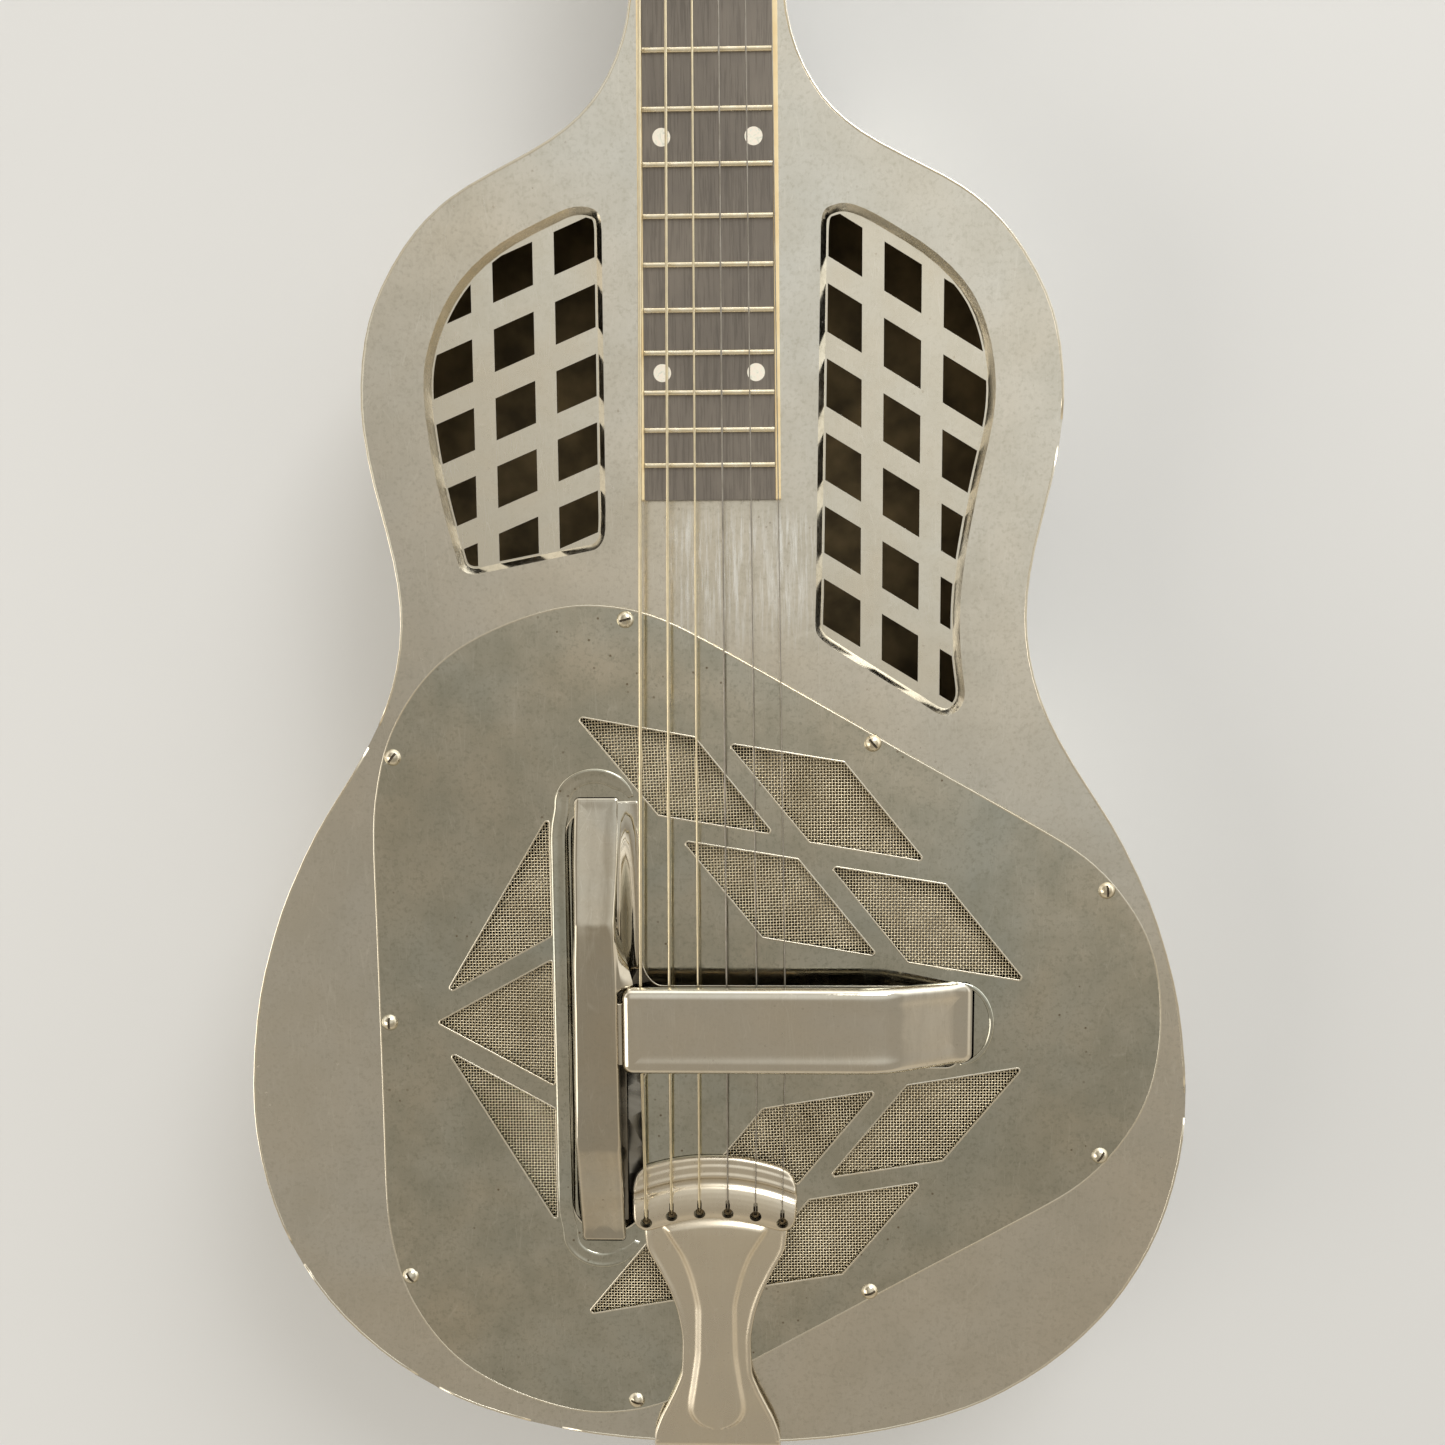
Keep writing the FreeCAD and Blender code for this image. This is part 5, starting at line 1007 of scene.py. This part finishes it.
# --------------------------------------------------------------------------------------------------------
# strings, wound or plain
# --------------------------------------------------------------------------------------------------------
PATHS = {
    1: [(26.0, -78.3, 84.2), (27.3, 0, 90.4), (19.6, 635.4, 91.6), (19.6, 638, 91.6), (19.8, 701.009, 64.492)],
    2: [(15.6, -75.6, 84.2), (16.5, 0, 90.44), (11.8, 635.4, 91.64), (11.8, 638, 91.64), (16.6, 734.921, 56.804)],
    3: [(4.8, -74.5, 84.2), (5.15, 0, 90.53), (3.9, 635.4, 91.73), (3.9, 638, 91.73), (13.4, 768.984, 49.219)],
    4: [(-6.2, -74.6, 84.2), (-5.75, 0, 90.62), (-3.95, 635.4, 91.82), (-3.95, 638, 91.82), (-13.4, 769.061, 49.478)],
    5: [(-17.1, -75.7, 84.2), (-16.65, 0, 90.74), (-11.8, 635.4, 91.94), (-11.8, 638, 91.94), (-16.6, 735.197, 57.659)],
    6: [(-27.0, -78.5, 84.2), (-27.5, 0, 90.88), (-19.6, 635.4, 92.08), (-19.6, 638, 92.08), (-19.8, 701.505, 65.841)]}


def resample(P, step):
    P = np.array(P, float)
    d = np.concatenate([[0], np.cumsum(np.linalg.norm(np.diff(P, axis=0), axis=1))])
    n_ = max(2, int(d[-1] / step))
    q = np.linspace(0, d[-1], n_ + 1)
    return np.column_stack([np.interp(q, d, P[:, i]) for i in range(3)])


def ball_end(x, y, z, r=1.62, hole=0.62, h=2.3, sides=20):
    """Small turned barrel that stops the string in its keyhole, with its axis across the string."""
    prof_ = [(hole, -h / 2), (r * 0.86, -h / 2), (r, -h / 2 + 0.3), (r * 0.9, -0.35), (r * 0.9, 0.35), (r, h / 2 - 0.3), (r * 0.86, h / 2), (hole, h / 2)]
    verts, faces = [], []
    m = len(prof_)
    for i in range(sides):
        a = 2 * math.pi * i / sides
        for rr, hh in prof_:
            verts.append(((x + rr * math.cos(a)) * MM, (y + rr * math.sin(a)) * MM, (z + hh) * MM))
    for i in range(sides):
        for j in range(m):
            a, b = i * m + j, i * m + (j + 1) % m
            c, d = ((i + 1) % sides) * m + (j + 1) % m, ((i + 1) % sides) * m + j
            faces.append((a, d, c, b))
    return verts, faces


for k in range(1, 7):
    P = smooth_path(PATHS[k], 1.6, 6)
    # the string dips into its keyhole behind the tailpiece's bright band
    bx, by = AT_TAIL[k]
    P = np.vstack([[bx, by + 0.2, 81.6], [bx, by + 1.3, 82.6], [bx, by + 3.0, 83.9], P[1:]])
    wound = k >= 4
    Q = resample(P, 0.26 if wound else 2.5) * MM
    if wound:
        rr = [STRING_R[k] * MM * (1.0 if i % 2 else 0.90) for i in range(len(Q))]
        rr[0] = rr[-1] = STRING_R[k] * MM * 0.9
    else:
        rr = STRING_R[k] * MM
    body_t = tube(Q, rr, sides=8 if wound else 10)
    # Dark ball end in the keyhole: painted shade.
    v, f = ball_end(bx, by, 80.75, r=1.6, hole=0.55, h=1.8)
    o = new_object("string_%d_ball" % k, v, f, M["ball_painted_shade"])
    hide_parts("string_%d" % k)
    v, f = body_t
    o = new_object("string_%d_visual" % k, v, f, M["wound_string"] if wound else M["plain_string"])
    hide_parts("string_%d" % k)

for nm, wd in (("top_plate", 0.00045), ("cover_plate", 0.00045), ("grille_bass", 0.00022), ("grille_treble", 0.00022), ("back_plate", 0.0004), ("headstock", 0.0009),
               ("fretboard", 0.00025), ("fretboard_binding", 0.0004), ("nut", 0.0004), ("tuner_plate_bass", 0.0002), ("tuner_plate_treble", 0.0002), ("saddle", 0.0004), ("t_bridge", 0.0005)):
    soften(nm, wd)


def top_loops(node):
    """Runs of sharp edges round the flat top face of a CAD plate: [(points, outward directions, closed)]."""
    o = NODES[node]
    bm = bmesh.new()
    bm.from_mesh(o.data)
    bm.transform(o.matrix_world)
    bmesh.ops.remove_doubles(bm, verts=bm.verts, dist=0.00001)
    zt = max(v_.co.z for v_ in bm.verts)
    link = {}
    for e in bm.edges:
        if len(e.link_faces) != 2 or min(q.co.z for q in e.verts) < zt - 0.00004:
            continue
        up = [f_ for f_ in e.link_faces if f_.normal.z > 0.97]
        side = [f_ for f_ in e.link_faces if abs(f_.normal.z) < 0.5]
        if len(up) == 1 and len(side) == 1:
            for q, r_ in (e.verts, reversed(e.verts)):
                link.setdefault(q, []).append((r_, side[0].normal.copy()))
    loops, seen = [], set()
    order = sorted(link, key=lambda q: (len(link[q]) == 2, q.index))
    for start in order:
        if start in seen or len(link[start]) > 2:
            continue
        chain, cur = [], start
        while cur is not None:
            seen.add(cur)
            chain.append(cur)
            nxt = [w_ for w_, _ in link[cur] if w_ not in seen and len(link[w_]) <= 2]
            cur = nxt[0] if nxt else None
        closed = len(chain) > 3 and len(link[chain[0]]) == 2 and any(w_ is chain[0] for w_, _ in link[chain[-1]])
        pts = np.array([tuple(q.co) for q in chain])
        out = []
        for q in chain:
            a_, b_ = link[q][0][1], link[q][-1][1]
            m_ = a_ + b_
            m_.z = 0
            m_.normalize()
            out.append(np.array(tuple(m_)) / max(0.62, m_.dot(a_)))
        if len(pts) > 3:
            loops.append((pts, np.array(out), closed))
    bm.free()
    return loops


RIM = [(-0.52, -0.02), (-0.46, 0.035), (-0.32, 0.085), (-0.14, 0.105), (0.0, 0.085), (0.085, 0.02), (0.11, -0.10), (0.11, -0.34), (-0.05, -0.36), (-0.30, -0.20)]


def edge_rim(node, size, mat, shortest=30.0):
    """Thin rolled rim along the top edges of a plate; small round holes are left plain."""
    parts = []
    for pts, out, closed in top_loops(node):
        if np.linalg.norm(np.diff(pts, axis=0), axis=1).sum() < shortest * MM:
            continue
        n_, c = len(pts), len(RIM)
        vs, fs = [], []
        for p_, d_ in zip(pts, out):
            for o_, h_ in RIM:
                vs.append((p_[0] + d_[0] * o_ * size * MM, p_[1] + d_[1] * o_ * size * MM, p_[2] + h_ * size * MM))
        a_, b_ = pts[0], pts[1]
        flip = (b_[0] - a_[0]) * out[0][1] - (b_[1] - a_[1]) * out[0][0] > 0
        if not closed:
            fs.append(tuple(range(c)) if flip else tuple(reversed(range(c))))
            k = (n_ - 1) * c
            fs.append(tuple(range(k + c - 1, k - 1, -1)) if flip else tuple(range(k, k + c)))
        for i in range(n_ if closed else n_ - 1):
            for j in range(c):
                q = (i * c + j, i * c + (j + 1) % c, (i + 1) % n_ * c + (j + 1) % c, (i + 1) % n_ * c + j)
                fs.append(q[::-1] if flip else q)
        parts.append((vs, fs))
    v, f = join_parts(parts)
    o = new_object(node + "_rim", v, f, mat)
    print("rim", node, len(parts), len(f))
    return o


# The rims are in the lighter nickel: painted highlight along the edges.
edge_rim("cover_plate", 1.0, M["rim_nickel_painted_highlight"])
edge_rim("top_plate", 1.5, M["rim_nickel_painted_highlight"])
for nm in ("grille_bass", "grille_treble"):
    NODES[nm].data.materials[0] = M["grille_nickel"]
NODES["back_plate"].data.materials[0] = M["nickel_back"]

SCREW_AT = [(-32.1, 155.6), (-121.3, 103.9), (-126.0, 0.0), (-121.3, -103.9), (-32.1, -155.6), (60.3, -108.8), (148.8, -52.4), (148.8, 52.4), (60.3, 108.8)]
# Dark boxes set in the cover screws' slots: painted shade in the slots.
dv = []
for k_, (x_, y_) in enumerate(SCREW_AT):
    a_ = math.radians(37 * k_ + 15)
    cx_, sx_ = math.cos(a_), math.sin(a_)
    bot, top = [], []
    for u_, w_ in ((-2.2, -0.44), (2.2, -0.44), (2.2, 0.44), (-2.2, 0.44)):
        p_ = (x_ + u_ * cx_ - w_ * sx_, y_ + u_ * sx_ + w_ * cx_)
        bot.append((p_[0] * MM, p_[1] * MM, (Z_PLATE + 0.9) * MM))
        top.append((p_[0] * MM, p_[1] * MM, (Z_PLATE + 1.24) * MM))
    dv.append((bot + top, [(3, 2, 1, 0), (4, 5, 6, 7), (0, 1, 5, 4), (1, 2, 6, 5), (2, 3, 7, 6), (3, 0, 4, 7)]))
v, f = join_parts(dv)
slots = new_object("cover_screw_slots", v, f, M["slot_painted_shade"], smooth=False)
# --------------------------------------------------------------------------------------------------------
# camera, light, floor
# --------------------------------------------------------------------------------------------------------
cam_data = bpy.data.cameras.new("camera")
cam = bpy.data.objects.new("camera", cam_data)
bpy.context.scene.collection.objects.link(cam)
cam_data.sensor_fit = "HORIZONTAL"
cam_data.sensor_width = 36.0
cam_data.lens = 36.0 * 1400.0 / 1445.0
cam_data.clip_start = 0.01
cam_data.clip_end = 50.0
RV = Vector((-0.11947, 0.02864, -0.00493))
Rm = Matrix.Rotation(RV.length, 3, RV.normalized())
B = Matrix(((1, 0, 0), (0, -1, 0), (0, 0, -1)))
Mx = B @ Rm.transposed()
right, down, fwd = Mx[0], Mx[1], Mx[2]
rot = Matrix((right, -down, -fwd)).transposed()
cam.matrix_world = Matrix.Translation((0.01906739, 0.17945783, 0.60125496)) @ rot.to_4x4()
bpy.context.scene.camera = cam

world = bpy.data.worlds.new("studio")
bpy.context.scene.world = world
world.use_nodes = True
wt = world.node_tree
wt.nodes.clear()
wo = wt.nodes.new("ShaderNodeOutputWorld")
bg = wt.nodes.new("ShaderNodeBackground")
wt.links.new(bg.outputs[0], wo.inputs[0])
tc = wt.nodes.new("ShaderNodeTexCoord")


def w_blob(direction, inner, outer):
    """1 inside a soft round patch of sky about a direction, angles in degrees."""
    d = Vector(direction).normalized()
    dot = wt.nodes.new("ShaderNodeVectorMath")
    dot.operation = "DOT_PRODUCT"
    wt.links.new(tc.outputs["Generated"], dot.inputs[0])
    dot.inputs[1].default_value = d
    m = wt.nodes.new("ShaderNodeMapRange")
    m.interpolation_type = "SMOOTHSTEP"
    m.inputs[1].default_value = math.cos(math.radians(outer))
    m.inputs[2].default_value = math.cos(math.radians(inner))
    wt.links.new(dot.outputs["Value"], m.inputs[0])
    return m.outputs[0]


def w_mix(fac, a, b):
    m = wt.nodes.new("ShaderNodeMix")
    m.data_type = "RGBA"
    wt.links.new(fac, m.inputs[0])
    for s, v in ((m.inputs[6], a), (m.inputs[7], b)):
        if isinstance(v, tuple):
            s.default_value = (*v, 1)
        else:
            wt.links.new(v, s)
    return m.outputs[2]


ring = wt.nodes.new("ShaderNodeSeparateXYZ")
wt.links.new(tc.outputs["Generated"], ring.inputs[0])
low = wt.nodes.new("ShaderNodeMapRange")
low.interpolation_type = "SMOOTHSTEP"
for i_, v_ in ((1, 0.30), (2, 0.58), (3, 1.0), (4, 0.0)):
    low.inputs[i_].default_value = v_
wt.links.new(ring.outputs[2], low.inputs[0])
# one broad soft source overhead, brighter toward the upper right
sky = w_mix(w_blob((0.35, 0.55, 1.0), 4, 50), (0.47, 0.425, 0.35), (0.95, 0.93, 0.86))
around = w_mix(w_blob((0.6, 0.8, 0.15), 15, 80), (0.75, 0.66, 0.52), (2.3, 2.27, 2.15))
around = w_mix(w_blob((-1.0, 0.15, 0.1), 10, 55), around, (1.5, 1.42, 1.28))
sky = w_mix(low.outputs[0], sky, around)
wt.links.new(sky, bg.inputs[0])
bg.inputs[1].default_value = 1.0


def area(name, loc, target, size, power, color):
    d = bpy.data.lights.new(name, "AREA")
    d.shape = "RECTANGLE"
    d.size, d.size_y = size
    d.energy = power
    d.color = color
    o = bpy.data.objects.new(name, d)
    bpy.context.scene.collection.objects.link(o)
    o.location = loc
    o.rotation_euler = (Vector(target) - Vector(loc)).to_track_quat("-Z", "Y").to_euler()
    return o


area("key", (0.9, 2.0, 1.5), (0, 0.1, 0.05), (1.2, 1.2), 30.0, (1.0, 0.98, 0.94))
area("fill", (-1.7, -0.4, 1.3), (0, 0, 0.05), (1.2, 1.2), 12.0, (1.0, 0.93, 0.82))

fl_v = [(-4, -4, -0.0004), (4, -4, -0.0004), (4, 4, -0.0004), (-4, 4, -0.0004)]
floor = new_object("studio_floor", fl_v, [(0, 1, 2, 3)], M["studio_floor"], smooth=False, body=None)
bpy.context.scene.view_settings.view_transform = "Standard"
